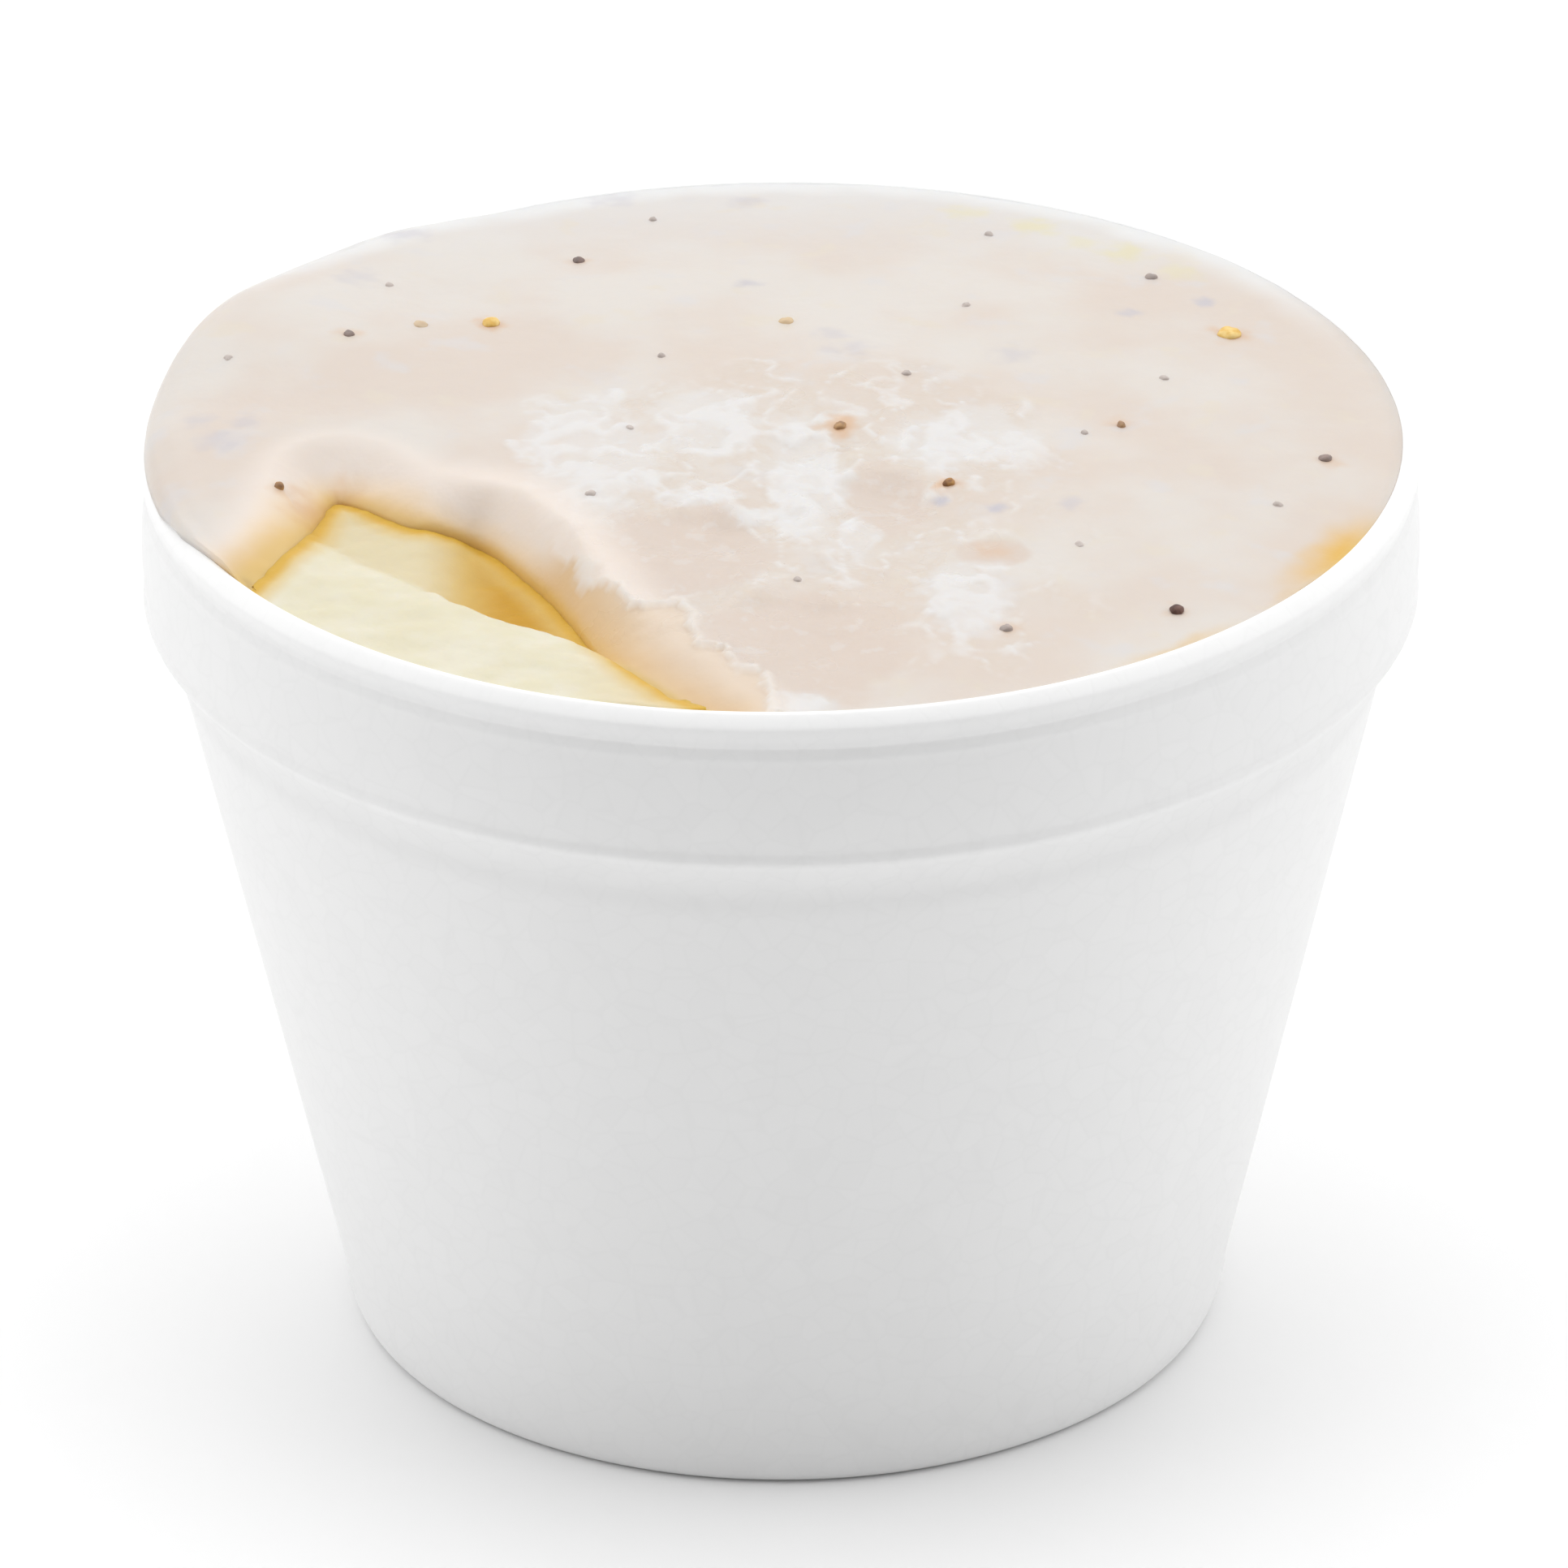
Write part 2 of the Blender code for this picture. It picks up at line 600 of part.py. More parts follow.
def build_potato():
    """The potato that fills the cup: its top as shown, its side and foot a gap inside the cup."""
    shape = bmesh.new()
    angles = [math.radians(angle) for angle in potato_angles()]
    fillet_height = FLOOR_HEIGHT + FLOOR_FILLET
    fillet_centre = (inner_radius(fillet_height) - FLOOR_FILLET, fillet_height)
    foot = arc(fillet_centre, (FLOOR_FILLET - GAP, FLOOR_FILLET - GAP), 0.0, -90.0, 2)
    rings = []
    for radius in potato_rings():
        ring = []
        for angle in angles:
            x = radius * math.cos(angle)
            y = radius * math.sin(angle)
            height = RIM_HEIGHT + float(potato_level(np.array([x]), np.array([y]))[0])
            ring.append(shape.verts.new((x, y, height)))
        rings.append(ring)
    edge = []
    for angle in angles:
        radius = inner_radius(RIM_HEIGHT - 2.0) - GAP
        x = radius * math.cos(angle)
        y = radius * math.sin(angle)
        height = RIM_HEIGHT + float(potato_level(np.array([x]), np.array([y]))[0])
        radius = inner_radius(height) - GAP
        edge.append(shape.verts.new((radius * math.cos(angle), radius * math.sin(angle), height)))
    rings.append(edge)
    for radius, height in foot:
        rings.append([
            shape.verts.new((radius * math.cos(angle), radius * math.sin(angle), height))
            for angle in angles
        ])
    middle = shape.verts.new((0.0, 0.0, RIM_HEIGHT + POTATO_CENTRE_LEVEL))
    base = shape.verts.new((0.0, 0.0, FLOOR_HEIGHT + GAP))
    count = len(angles)
    for step in range(count):
        after = (step + 1) % count
        shape.faces.new([middle, rings[0][step], rings[0][after]])
        shape.faces.new([base, rings[-1][after], rings[-1][step]])
        for inner, outer in zip(rings, rings[1:]):
            shape.faces.new([inner[step], outer[step], outer[after], inner[after]])
    finish = material("potato", POTATO_CREAM)
    return mesh_object("mashed_potato", shape, finish)


for startup in list(bpy.data.objects):
    bpy.data.objects.remove(startup)
build_cup()
build_potato()
build_gravy()
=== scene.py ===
"""Mashed potato side: a white foam cup heaped with mashed potato under a thick pepper gravy.

Places and sizes are in millimetres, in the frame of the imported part: +Z up, the cup's foot at the
origin, the opening in the gravy at -X and -Y. Each mesh is turned into metres as it is made. Angles
round the cup run anticlockwise from +X, seen from above. A level is a height over the cup's rim.
"""

import math
import random

import bmesh
import bpy
import numpy as np
from mathutils import Matrix, Vector, geometry, noise


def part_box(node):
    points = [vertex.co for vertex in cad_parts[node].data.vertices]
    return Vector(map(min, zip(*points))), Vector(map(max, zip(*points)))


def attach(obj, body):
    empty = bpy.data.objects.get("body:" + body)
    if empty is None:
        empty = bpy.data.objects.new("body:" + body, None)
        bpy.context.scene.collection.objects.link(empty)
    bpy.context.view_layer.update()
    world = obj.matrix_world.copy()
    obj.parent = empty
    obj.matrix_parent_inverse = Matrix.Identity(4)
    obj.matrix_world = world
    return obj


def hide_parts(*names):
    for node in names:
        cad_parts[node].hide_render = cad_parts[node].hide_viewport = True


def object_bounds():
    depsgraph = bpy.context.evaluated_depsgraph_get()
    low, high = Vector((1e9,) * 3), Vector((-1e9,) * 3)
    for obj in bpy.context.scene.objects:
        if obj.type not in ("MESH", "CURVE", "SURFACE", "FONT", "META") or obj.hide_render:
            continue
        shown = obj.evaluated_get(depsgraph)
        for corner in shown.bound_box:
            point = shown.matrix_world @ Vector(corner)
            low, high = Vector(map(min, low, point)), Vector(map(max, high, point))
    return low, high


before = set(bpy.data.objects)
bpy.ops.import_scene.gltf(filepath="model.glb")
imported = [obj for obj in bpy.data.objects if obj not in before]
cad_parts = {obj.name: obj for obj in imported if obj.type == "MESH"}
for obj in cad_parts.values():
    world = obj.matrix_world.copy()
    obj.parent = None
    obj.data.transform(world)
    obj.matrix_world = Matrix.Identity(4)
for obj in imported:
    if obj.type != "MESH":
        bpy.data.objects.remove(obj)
cad_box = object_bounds()
scene = bpy.context.scene


# Camera
# It stands a metre in front of the cup and looks down over its rim. The photo's frame leans a little
# to one side, so the camera is rolled by that much.
mm = 0.001
camera_distance = 1000.0
camera_elevation = 28.57
camera_side = 0.11
camera_dip = 26.545
camera_roll = -0.40
focal_length = 317.3
sensor_width = 36.0

camera_data = bpy.data.cameras.new("camera")
camera_data.lens = focal_length
camera_data.sensor_width = sensor_width
camera = bpy.data.objects.new("camera", camera_data)
scene.collection.objects.link(camera)
camera_height = camera_distance * math.sin(math.radians(camera_elevation))
camera_back = camera_distance * math.cos(math.radians(camera_elevation))
camera.location = (camera_side * mm, -camera_back * mm, camera_height * mm)
camera_tilt = Matrix.Rotation(math.radians(90.0 - camera_dip), 3, "X")
camera.rotation_euler = (camera_tilt @ Matrix.Rotation(math.radians(camera_roll), 3, "Z")).to_euler()
scene.camera = camera


# Foam cup
# One moulded shell of white expanded foam beads: a rounded lip over a band, a fine ring, a shoulder,
# a straight tapered wall and a rolled foot. The skin is smooth, with the beads' outlines just showing.
cup_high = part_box("foam_cup")[1]
rim_height = cup_high.z / mm
band_radius = cup_high.x / mm
band_drop = 7.5
band_half_height = 4.5
band_bulge_above = 0.35
band_bulge_below = 0.65
ring_drop = 11.0
ring_bead = 0.36
ring_above = 0.38
ring_below = 1.0
shoulder_drop = 15.4
wall_foot_radius = 31.05
wall_slope = 0.2257
seam_drop = 3.3
seam_bead = 0.08
seam_half_width = 0.3
lip_crest_radius = 43.85
lip_corners = (
    (43.85, 0.0),
    (44.1, 0.06),
    (44.5, 0.42),
    (44.87, 0.88),
    (44.92, 1.2),
    (44.84, 1.7),
    (44.62, 2.4),
)
lip_pitch = 0.08
lip_inner_radius = 43.5
lip_inner_drop = 0.9
corner_height = 3.6
contact_radius = 30.3
foot_ring_width = 1.8
foot_recess = 1.4
inner_foot_radius = 28.9
inner_slope = 0.2215
floor_height = 3.6
floor_fillet = 3.0
cup_segments = 224
cup_waviness = 0.07
wave_rise = 25.0
wave_scale = 3.0
merge_distance = 0.001
foam_white = (0.91, 0.91, 0.908, 1.0)
bead_size = 2.1


class Socket:
    """An output in a node tree. Arithmetic on it adds Math nodes, so a mask is written as a formula."""

    def __init__(self, tree, output):
        self.tree = tree
        self.output = output

    def math(self, operation, *values):
        return self.tree.add("ShaderNodeMath", {"operation": operation}, values)

    def __add__(self, other):
        return self.math("ADD", self, other)

    __radd__ = __add__

    def __sub__(self, other):
        return self.math("SUBTRACT", self, other)

    def __rsub__(self, other):
        return self.math("SUBTRACT", other, self)

    def __mul__(self, other):
        return self.math("MULTIPLY", self, other)

    __rmul__ = __mul__

    def __truediv__(self, other):
        return self.math("DIVIDE", self, other)

    def ramp(self, start, end):
        """Nothing at the start, one at the end, smooth between and level past them."""
        settings = {"interpolation_type": "SMOOTHSTEP"}
        inputs = {"Value": self, "From Min": start, "From Max": end}
        return self.tree.add("ShaderNodeMapRange", settings, inputs)


class Nodes:
    """A shader or geometry node tree. One method adds any node: its type, settings and inputs."""

    def __init__(self, tree):
        self.tree = tree

    def add(self, kind, settings=(), inputs=(), output=0):
        node = self.tree.nodes.new(kind)
        for name, setting in dict(settings).items():
            setattr(node, name, setting)
        pairs = inputs.items() if isinstance(inputs, dict) else enumerate(inputs)
        for key, value in pairs:
            if isinstance(value, Socket):
                self.tree.links.new(value.output, node.inputs[key])
            else:
                node.inputs[key].default_value = value
        return Socket(self, node.outputs[output])

    def mix(self, share, first, second):
        return self.add("ShaderNodeMix", {"data_type": "RGBA"}, {0: share, 6: first, 7: second}, 2)

    def layered(self, colour, layers):
        """Lays tints over a colour in turn, each with its share."""
        for share, tint in layers:
            colour = self.mix(share, colour, (*tint, 1.0) if isinstance(tint, tuple) else tint)
        return colour

    def attribute(self, name):
        return self.add("ShaderNodeAttribute", {"attribute_name": name}, output="Fac")

    def part(self, vector, axis):
        """The x, y or z of a vector, for the axes 0, 1 and 2."""
        split = self.add("ShaderNodeSeparateXYZ", {}, [vector])
        return Socket(self, split.output.node.outputs[axis])

    def bump(self, shader, strength, distance, height):
        """Feeds the shader a relief so many millimetres deep."""
        inputs = {"Strength": strength, "Distance": distance * mm, "Height": height}
        feed(self, shader, "Normal", self.add("ShaderNodeBump", {}, inputs))

    def noise(self, place, size, detail=2.0, roughness=0.5):
        """Soft noise whose lumps are about a size in millimetres."""
        inputs = {"Vector": place, "Scale": 1.0 / (size * mm), "Detail": detail, "Roughness": roughness}
        return self.add("ShaderNodeTexNoise", {}, inputs)


def new_material(name, constants):
    """A material and its tree. The constants are set on the shader's own sockets."""
    made = bpy.data.materials.new(name)
    made.use_nodes = True
    shader = made.node_tree.nodes["Principled BSDF"]
    for socket, value in constants.items():
        shader.inputs[socket].default_value = value
    return made, Nodes(made.node_tree), shader


def feed(nodes, shader, socket, value):
    nodes.tree.links.new(value.output, shader.inputs[socket])


def smooth(share):
    share = np.clip(share, 0.0, 1.0)
    return share * share * (3.0 - 2.0 * share)


def between(start, end, share):
    return start + (end - start) * share


def polar(radius, angle):
    return radius * math.cos(angle), radius * math.sin(angle)


def arc(centre, radii, start, end, steps):
    """Points on an ellipse's arc from one angle to another, both ends included."""
    points = []
    for step in range(steps + 1):
        angle = math.radians(between(start, end, step / steps))
        points.append((centre[0] + radii[0] * math.cos(angle), centre[1] + radii[1] * math.sin(angle)))
    return points


def curve_points(corners, pitch):
    """Points about a pitch apart on the smooth curve through the corners."""
    points = [Vector(corner) for corner in corners]
    line = []
    for index in range(len(points) - 1):
        before = points[max(index - 1, 0)]
        start = points[index]
        end = points[index + 1]
        after = points[min(index + 2, len(points) - 1)]
        count = max(2, round((end - start).length / pitch))
        for step in range(count):
            t = step / count
            line.append(
                0.5 * (
                    2.0 * start
                    + (end - before) * t
                    + (2.0 * before - 5.0 * start + 4.0 * end - after) * t * t
                    + (3.0 * start - before - 3.0 * end + after) * t ** 3
                )
            )
    line.append(points[-1])
    return np.array([(point.x, point.y) for point in line])


lip_curve = [tuple(point) for point in curve_points(lip_corners, lip_pitch)]


def cup_outer_radius(height):
    drop = rim_height - height
    wall = wall_foot_radius + wall_slope * height
    bulge = band_bulge_below if drop > band_drop else band_bulge_above
    band = band_radius - bulge * ((drop - band_drop) / band_half_height) ** 2
    shoulder = float(smooth((shoulder_drop - drop) / (shoulder_drop - ring_drop)))
    ring_width = ring_below if drop > ring_drop else ring_above
    bead = ring_bead * math.exp(-(((drop - ring_drop) / ring_width) ** 2))
    seam = seam_bead * math.exp(-(((drop - seam_drop) / seam_half_width) ** 2))
    return between(wall, band, shoulder) + bead + seam


def cup_inner_radius(height):
    return inner_foot_radius + inner_slope * height


fillet_height = floor_height + floor_fillet
fillet_centre = (cup_inner_radius(fillet_height) - floor_fillet, fillet_height)


def cup_outline():
    """From the middle of the foot's recess, up the outside, over the lip and down to the floor."""
    recess_radius = contact_radius - foot_ring_width
    outline = [(0.0, foot_recess), (recess_radius - foot_recess / 2.0, foot_recess)]
    outline.append((recess_radius, 0.0))
    corner_radius = cup_outer_radius(corner_height) - contact_radius
    corner = (contact_radius, corner_height)
    outline += arc(corner, (corner_radius, corner_height), -90.0, 0.0, steps=12)
    drops = list(np.linspace(rim_height - corner_height - 3.0, shoulder_drop, 10))
    # The outside above the wall, from below: where each span starts and ends, and its step
    spans = (
        (shoulder_drop - 0.6, ring_drop + 1.2, 0.6),
        (ring_drop + 1.2, ring_drop - 0.9, 0.11),
        (ring_drop - 0.9, seam_drop + 0.9, 0.5),
        (seam_drop + 0.9, lip_corners[-1][1] + 0.1, 0.12),
    )
    for start, end, step in spans:
        drops += list(np.arange(start, end, -step))
    outline += [(cup_outer_radius(rim_height - drop), rim_height - drop) for drop in drops]
    outline += [(radius, rim_height - drop) for radius, drop in reversed(lip_curve)]
    lip_in = lip_crest_radius - lip_inner_radius
    lip_centre = (lip_crest_radius, rim_height - lip_inner_drop)
    outline += arc(lip_centre, (lip_in, lip_inner_drop), 90.0, 180.0, steps=9)[1:]
    outline += arc(fillet_centre, (floor_fillet, floor_fillet), 0.0, -90.0, steps=6)
    outline.append((0.0, floor_height))
    return outline


def shaping_tree(name, inputs):
    """A geometry tree that takes a geometry and the named inputs: its nodes and its inputs' sockets."""
    tree = bpy.data.node_groups.new(name, "GeometryNodeTree")
    for label, kind in [("Geometry", "Geometry"), *inputs]:
        tree.interface.new_socket(label, in_out="INPUT", socket_type="NodeSocket" + kind)
    tree.interface.new_socket("Geometry", in_out="OUTPUT", socket_type="NodeSocketGeometry")
    nodes = Nodes(tree)
    given = tree.nodes.new("NodeGroupInput")
    return nodes, [Socket(nodes, given.outputs[index]) for index in range(len(inputs) + 1)]


def smooth_result(nodes, geometry, finish):
    """Ends a geometry tree: the shape is shaded smooth and given its finish."""
    soft = nodes.add("GeometryNodeSetShadeSmooth", {}, {"Geometry": geometry})
    finished = nodes.add("GeometryNodeSetMaterial", {}, {"Geometry": soft, "Material": finish})
    result = nodes.tree.nodes.new("NodeGroupOutput")
    nodes.tree.links.new(finished.output, result.inputs[0])
    return nodes.tree


def turning_tree():
    """Turns a profile's points round the Z axis, with a slight waviness in the radius."""
    inputs = [("Segments", "Int"), ("Waviness", "Float"), ("Finish", "Material")]
    nodes, (profile, segments, waviness, finish) = shaping_tree("turned shell", inputs)
    count = nodes.add("GeometryNodeAttributeDomainSize", {}, {0: profile})
    grid = nodes.add("GeometryNodeMeshGrid", {}, {"Vertices X": segments + 1, "Vertices Y": count})
    place = nodes.add("GeometryNodeInputPosition")
    across = nodes.part(place, 0)
    row = (nodes.part(place, 1) + 0.5) * (count - 1.0) + 0.5
    settings = {"data_type": "FLOAT_VECTOR", "domain": "POINT"}
    inputs = {0: profile, 1: place, 2: row.math("FLOOR", row)}
    sampled = nodes.add("GeometryNodeSampleIndex", settings, inputs)
    radius = nodes.part(sampled, 0)
    height = nodes.part(sampled, 2)
    turn = (across + 0.5) * math.tau
    ahead = turn.math("COSINE", turn)
    aside = turn.math("SINE", turn)
    round_cup = nodes.add("ShaderNodeCombineXYZ", {}, [ahead, aside, height * wave_rise])
    wave_inputs = {"Vector": round_cup, "Scale": wave_scale, "Detail": 1.0}
    waves = nodes.add("ShaderNodeTexNoise", {}, wave_inputs)
    wavy = radius - waviness * waves * (radius / (band_radius * mm))
    turned = nodes.add("ShaderNodeCombineXYZ", {}, [wavy * ahead, wavy * aside, height])
    moved = nodes.add("GeometryNodeSetPosition", {}, {"Geometry": grid, "Position": turned})
    merge_inputs = {"Geometry": moved, "Distance": merge_distance * mm}
    return smooth_result(nodes, nodes.add("GeometryNodeMergeByDistance", {}, merge_inputs), finish)


def grown(holder, tree, values):
    """Runs a geometry tree on an object and returns the result as a plain mesh object."""
    modifier = holder.modifiers.new("shape", "NODES")
    modifier.node_group = tree
    for item in tree.interface.items_tree:
        if item.in_out == "INPUT" and item.name in values:
            modifier[item.identifier] = values[item.name]
    graph = bpy.context.evaluated_depsgraph_get()
    mesh = bpy.data.meshes.new_from_object(holder.evaluated_get(graph))
    holder.modifiers.remove(modifier)
    holder.data = mesh
    return holder


def linked(name, mesh):
    made = bpy.data.objects.new(name, mesh)
    scene.collection.objects.link(made)
    return made


def turned_out(piece):
    """Turns every face of a closed mesh outwards."""
    shape = bmesh.new()
    shape.from_mesh(piece.data)
    bmesh.ops.recalc_face_normals(shape, faces=shape.faces)
    shape.to_mesh(piece.data)
    shape.free()


foam, nodes, shader = new_material("foam", {"Base Color": foam_white, "Roughness": 0.5})
place = nodes.add("ShaderNodeTexCoord", output="Object")
bead_inputs = {"Vector": place, "Scale": 1.0 / (bead_size * mm)}
bead_edge = nodes.add("ShaderNodeTexVoronoi", {"feature": "DISTANCE_TO_EDGE"}, bead_inputs)
bead_tone = nodes.add("ShaderNodeTexVoronoi", {"feature": "F1"}, bead_inputs, "Color")
bead_seam = 1.0 - bead_edge.ramp(0.0, 0.09)
mottle = nodes.noise(place, 9.0, 3.0)
tone = nodes.part(bead_tone, 0)
height = nodes.part(place, 2) / mm
# Painted shade: the foam is darkened on the shoulder under the ring.
under_ring_shade = (rim_height - height).ramp(ring_drop + 0.2, ring_drop + 0.9)
under_ring_shade = under_ring_shade * (height - rim_height).ramp(-shoulder_drop - 1.5, -shoulder_drop + 0.5)
# Painted highlight: the foam is made whiter on the lip, down to about 2 mm below the rim.
lip_highlight = 1.0 - (rim_height - height).ramp(1.1, 2.3)
shade = 0.985 + 0.01 * tone + 0.02 * (mottle - 0.5) - 0.012 * bead_seam - 0.045 * under_ring_shade
shade = shade + 0.065 * lip_highlight
foam_tint = [shade * foam_white[0], shade * foam_white[1], shade * foam_white[2]]
foam_colour = nodes.add("ShaderNodeCombineXYZ", {}, foam_tint)
feed(nodes, shader, "Base Color", foam_colour)
feed(nodes, shader, "Roughness", 0.46 + 0.12 * mottle + 0.1 * bead_seam)
relief = tone * 0.35 - bead_seam * 0.6 + nodes.noise(place, 0.5) * 0.25
nodes.bump(shader, 0.12, 0.05, relief)

profile_mesh = bpy.data.meshes.new("cup_shell")
profile_mesh.from_pydata([(radius * mm, 0.0, height * mm) for radius, height in cup_outline()], [], [])
cup = linked("cup_shell", profile_mesh)
cup_values = {"Segments": cup_segments, "Waviness": cup_waviness * mm, "Finish": foam}
grown(cup, turning_tree(), cup_values)
turned_out(cup)
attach(cup, "root")
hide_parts("foam_cup")


# Mashed potato
# Smooth buttery mash that fills the cup. It is bare at the front left: a bright plateau by the rim, a
# shelf behind it and a hollow at the right, where melted butter has pooled against the gravy's edge.
# The hollow's dark gold is partly painted shadow of the gravy's overhang, and the shelf and the band
# along the gravy's edge are partly painted shade.
potato_centre_level = -1.5
potato_wall_level = -2.7
plateau_level = -0.6
shelf_drop = 0.5
hollow_drop = 1.3
hollow_start_x = -25.0
hollow_run = 5.0
tier_width = 2.2
tier_line = (
    (-33.5, -12.5),
    (-30.5, -17.0),
    (-26.0, -21.6),
    (-19.6, -27.0),
    (-12.8, -32.0),
    (-7.0, -40.0),
)
crease_line = (
    (-37.4, -25.4),
    (-34.8, -20.0),
    (-33.1, -16.0),
    (-31.9, -11.2),
    (-30.8, -8.2),
    (-28.6, -9.8),
    (-25.7, -12.3),
    (-22.5, -12.9),
    (-20.3, -14.0),
    (-17.9, -18.0),
    (-15.6, -22.6),
    (-13.2, -28.8),
    (-10.4, -36.0),
    (-4.8, -43.9),
)
gravy_radius = 43.8
curve_pitch = 0.45
touch_gap = 0.05
foot_gap = 0.3
mash_lump = 0.16
mash_lump_size = 5.0
mash_grain = 0.05
mash_grain_size = 0.9
notch_place = (-23.4, -23.8)
notch_reach = 1.5
notch_rise = 0.35
crown_rise = 0.5
crown_middle = 4.0
crown_reach = 6.0
front_fade = 6.0
front_start = (2.0, -4.0)
potato_pitch = 0.3
potato_sinks = (0.12, 0.5, 1.5)
opening_angles = (184.0, 288.0)
fine_turn = 0.55
coarse_turn = 4.0
chunk = 4000


def signed_distance(x, y, line):
    """How far each place lies from the line: positive on the left of the line's direction."""
    distances = np.empty(len(x))
    starts = line[:-1]
    runs = line[1:] - starts
    lengths = (runs * runs).sum(axis=1)
    for first in range(0, len(x), chunk):
        part = slice(first, first + chunk)
        places = np.stack([x[part], y[part]], axis=1)
        offsets = places[:, None, :] - starts[None, :, :]
        shares = np.clip((offsets * runs).sum(axis=2) / lengths, 0.0, 1.0)
        away = offsets - runs * shares[:, :, None]
        reach = np.hypot(away[:, :, 0], away[:, :, 1])
        nearest = reach.argmin(axis=1)
        rows = np.arange(len(places))
        run = runs[nearest]
        offset = offsets[rows, nearest]
        side = np.sign(run[:, 0] * offset[:, 1] - run[:, 1] * offset[:, 0])
        distances[part] = reach[rows, nearest] * side
    return distances


def lumps(x, y, size, octaves, seed):
    """Fractal noise about zero over the places, its lumps a size in millimetres."""
    scale = 1.0 / size
    return np.array([
        noise.fractal(Vector((a * scale, b * scale, seed)), 0.7, 2.0, octaves)
        for a, b in zip(x, y)
    ])


tier_curve = curve_points(tier_line, curve_pitch)
crease_curve = curve_points(crease_line, curve_pitch)


def potato_level(x, y):
    radius = np.hypot(x, y)
    under = between(potato_centre_level, potato_wall_level, (radius / gravy_radius) ** 2)
    toward_rim = -signed_distance(x, y, tier_curve)
    plateau = smooth(0.5 + toward_rim / tier_width)
    hollow = hollow_drop * smooth((x - hollow_start_x) / hollow_run)
    shelf = plateau_level - shelf_drop - hollow
    crown = crown_rise * smooth(1.0 - np.abs(toward_rim - crown_middle) / crown_reach)
    front = smooth((front_start[1] - y) / front_fade) * smooth((front_start[0] - x) / front_fade)
    opened = between(shelf, plateau_level + crown, plateau)
    return between(under, opened, front)


def mash_level(x, y):
    """The potato's level with the spoon's soft marks and the mash's fine grain."""
    notch = smooth(1.0 - np.hypot(x - notch_place[0], y - notch_place[1]) / notch_reach)
    level = potato_level(x, y) + notch_rise * notch
    level = level + mash_lump * lumps(x, y * 1.8, mash_lump_size, 3, 3.1)
    return level + mash_grain * lumps(x, y, mash_grain_size, 2, 8.4)


def inner_wall_radius(height):
    """The radius of the cup's inside, the lip's inner curve included."""
    above = height - (rim_height - lip_inner_drop)
    if above <= 0.0:
        return cup_inner_radius(height)
    share = min(above / lip_inner_drop, 1.0)
    return lip_crest_radius - (lip_crest_radius - lip_inner_radius) * math.sqrt(1.0 - share * share)


def height_field(angles, radii, level):
    """Points of a polar height field in millimetres, ring by ring from the inside."""
    x, y = np.array([polar(radius, angle) for radius in radii for angle in angles]).T
    return x, y, rim_height + level(x, y)


def in_metres(x, y, z):
    return [(a * mm, b * mm, c * mm) for a, b, c in zip(x, y, z)]


def rings_to_mesh(name, rings, low_centre, high_centre):
    """A closed mesh from rings of places in millimetres, from the top's centre to the foot's."""
    count = len(rings[0])
    points = [high_centre]
    for ring in rings:
        points += list(ring)
    points.append(low_centre)
    last = len(points) - 1
    faces = []
    for step in range(count):
        after = (step + 1) % count
        faces.append((0, 1 + step, 1 + after))
        for ring in range(len(rings) - 1):
            inner = 1 + ring * count
            outer = inner + count
            faces.append((inner + step, outer + step, outer + after, inner + after))
        foot = 1 + (len(rings) - 1) * count
        faces.append((last, foot + after, foot + step))
    mesh = bpy.data.meshes.new(name)
    mesh.from_pydata(in_metres(*zip(*points)), [], faces)
    mesh.shade_smooth()
    return mesh


opening_start, opening_end = opening_angles
potato_turns = [*np.arange(opening_start, opening_end, fine_turn)]
potato_turns += [*np.arange(opening_end, opening_start + 360.0, coarse_turn)]
potato_angles = [math.radians(turn) for turn in potato_turns]
potato_radii = [6.0, 12.0, 17.0] + list(np.arange(19.0, 43.0, potato_pitch)) + [43.2, 43.38]
x, y, z = height_field(potato_angles, potato_radii, mash_level)
count = len(potato_angles)
potato_rings = [
    list(zip(x[start:start + count], y[start:start + count], z[start:start + count]))
    for start in range(0, len(x), count)
]
rim_level = z[-count:]
for sink in potato_sinks:
    ring = []
    for angle, top in zip(potato_angles, rim_level):
        height = top - sink
        radius = inner_wall_radius(min(height, rim_height)) - touch_gap
        ring.append((*polar(radius, angle), height))
    potato_rings.append(ring)
foot_curve = floor_fillet - foot_gap
for radius, height in arc(fillet_centre, (foot_curve, foot_curve), 0.0, -90.0, 4):
    potato_rings.append([(*polar(radius, angle), height) for angle in potato_angles])
top_centre = (0.0, 0.0, rim_height + potato_centre_level)
foot_centre = (0.0, 0.0, floor_height + foot_gap)
potato = linked("mash", rings_to_mesh("mash", potato_rings, foot_centre, top_centre))


def add_mask(mesh, name, values):
    """Stores one number for each of the mesh's points, for its material to read."""
    attribute = mesh.attributes.new(name, "FLOAT", "POINT")
    attribute.data.foreach_set("value", np.asarray(values, dtype=np.float32))


def mesh_places(mesh):
    """The mesh's points in millimetres, as arrays of x, y and z."""
    flat = np.empty(len(mesh.vertices) * 3, np.float32)
    mesh.vertices.foreach_get("co", flat)
    return (flat.reshape(-1, 3).astype(float) / mm).T


x, y, z = mesh_places(potato.data)
near_gravy = -signed_distance(x, y, crease_curve)
behind_tier = signed_distance(x, y, tier_curve)
add_mask(potato.data, "near_gravy", near_gravy)
# The hollow by the gravy's edge: melted butter, its dark gold partly painted shadow of the overhang.
pool_and_shadow = smooth((behind_tier + 0.3) / 1.0) * smooth((x + 27.0) / 11.0)
add_mask(potato.data, "butter_pool_and_shadow", pool_and_shadow)
# The shelf's mask, for its deeper golden tone and its painted shade.
add_mask(potato.data, "shelf", smooth((behind_tier + 0.6) / 1.6))

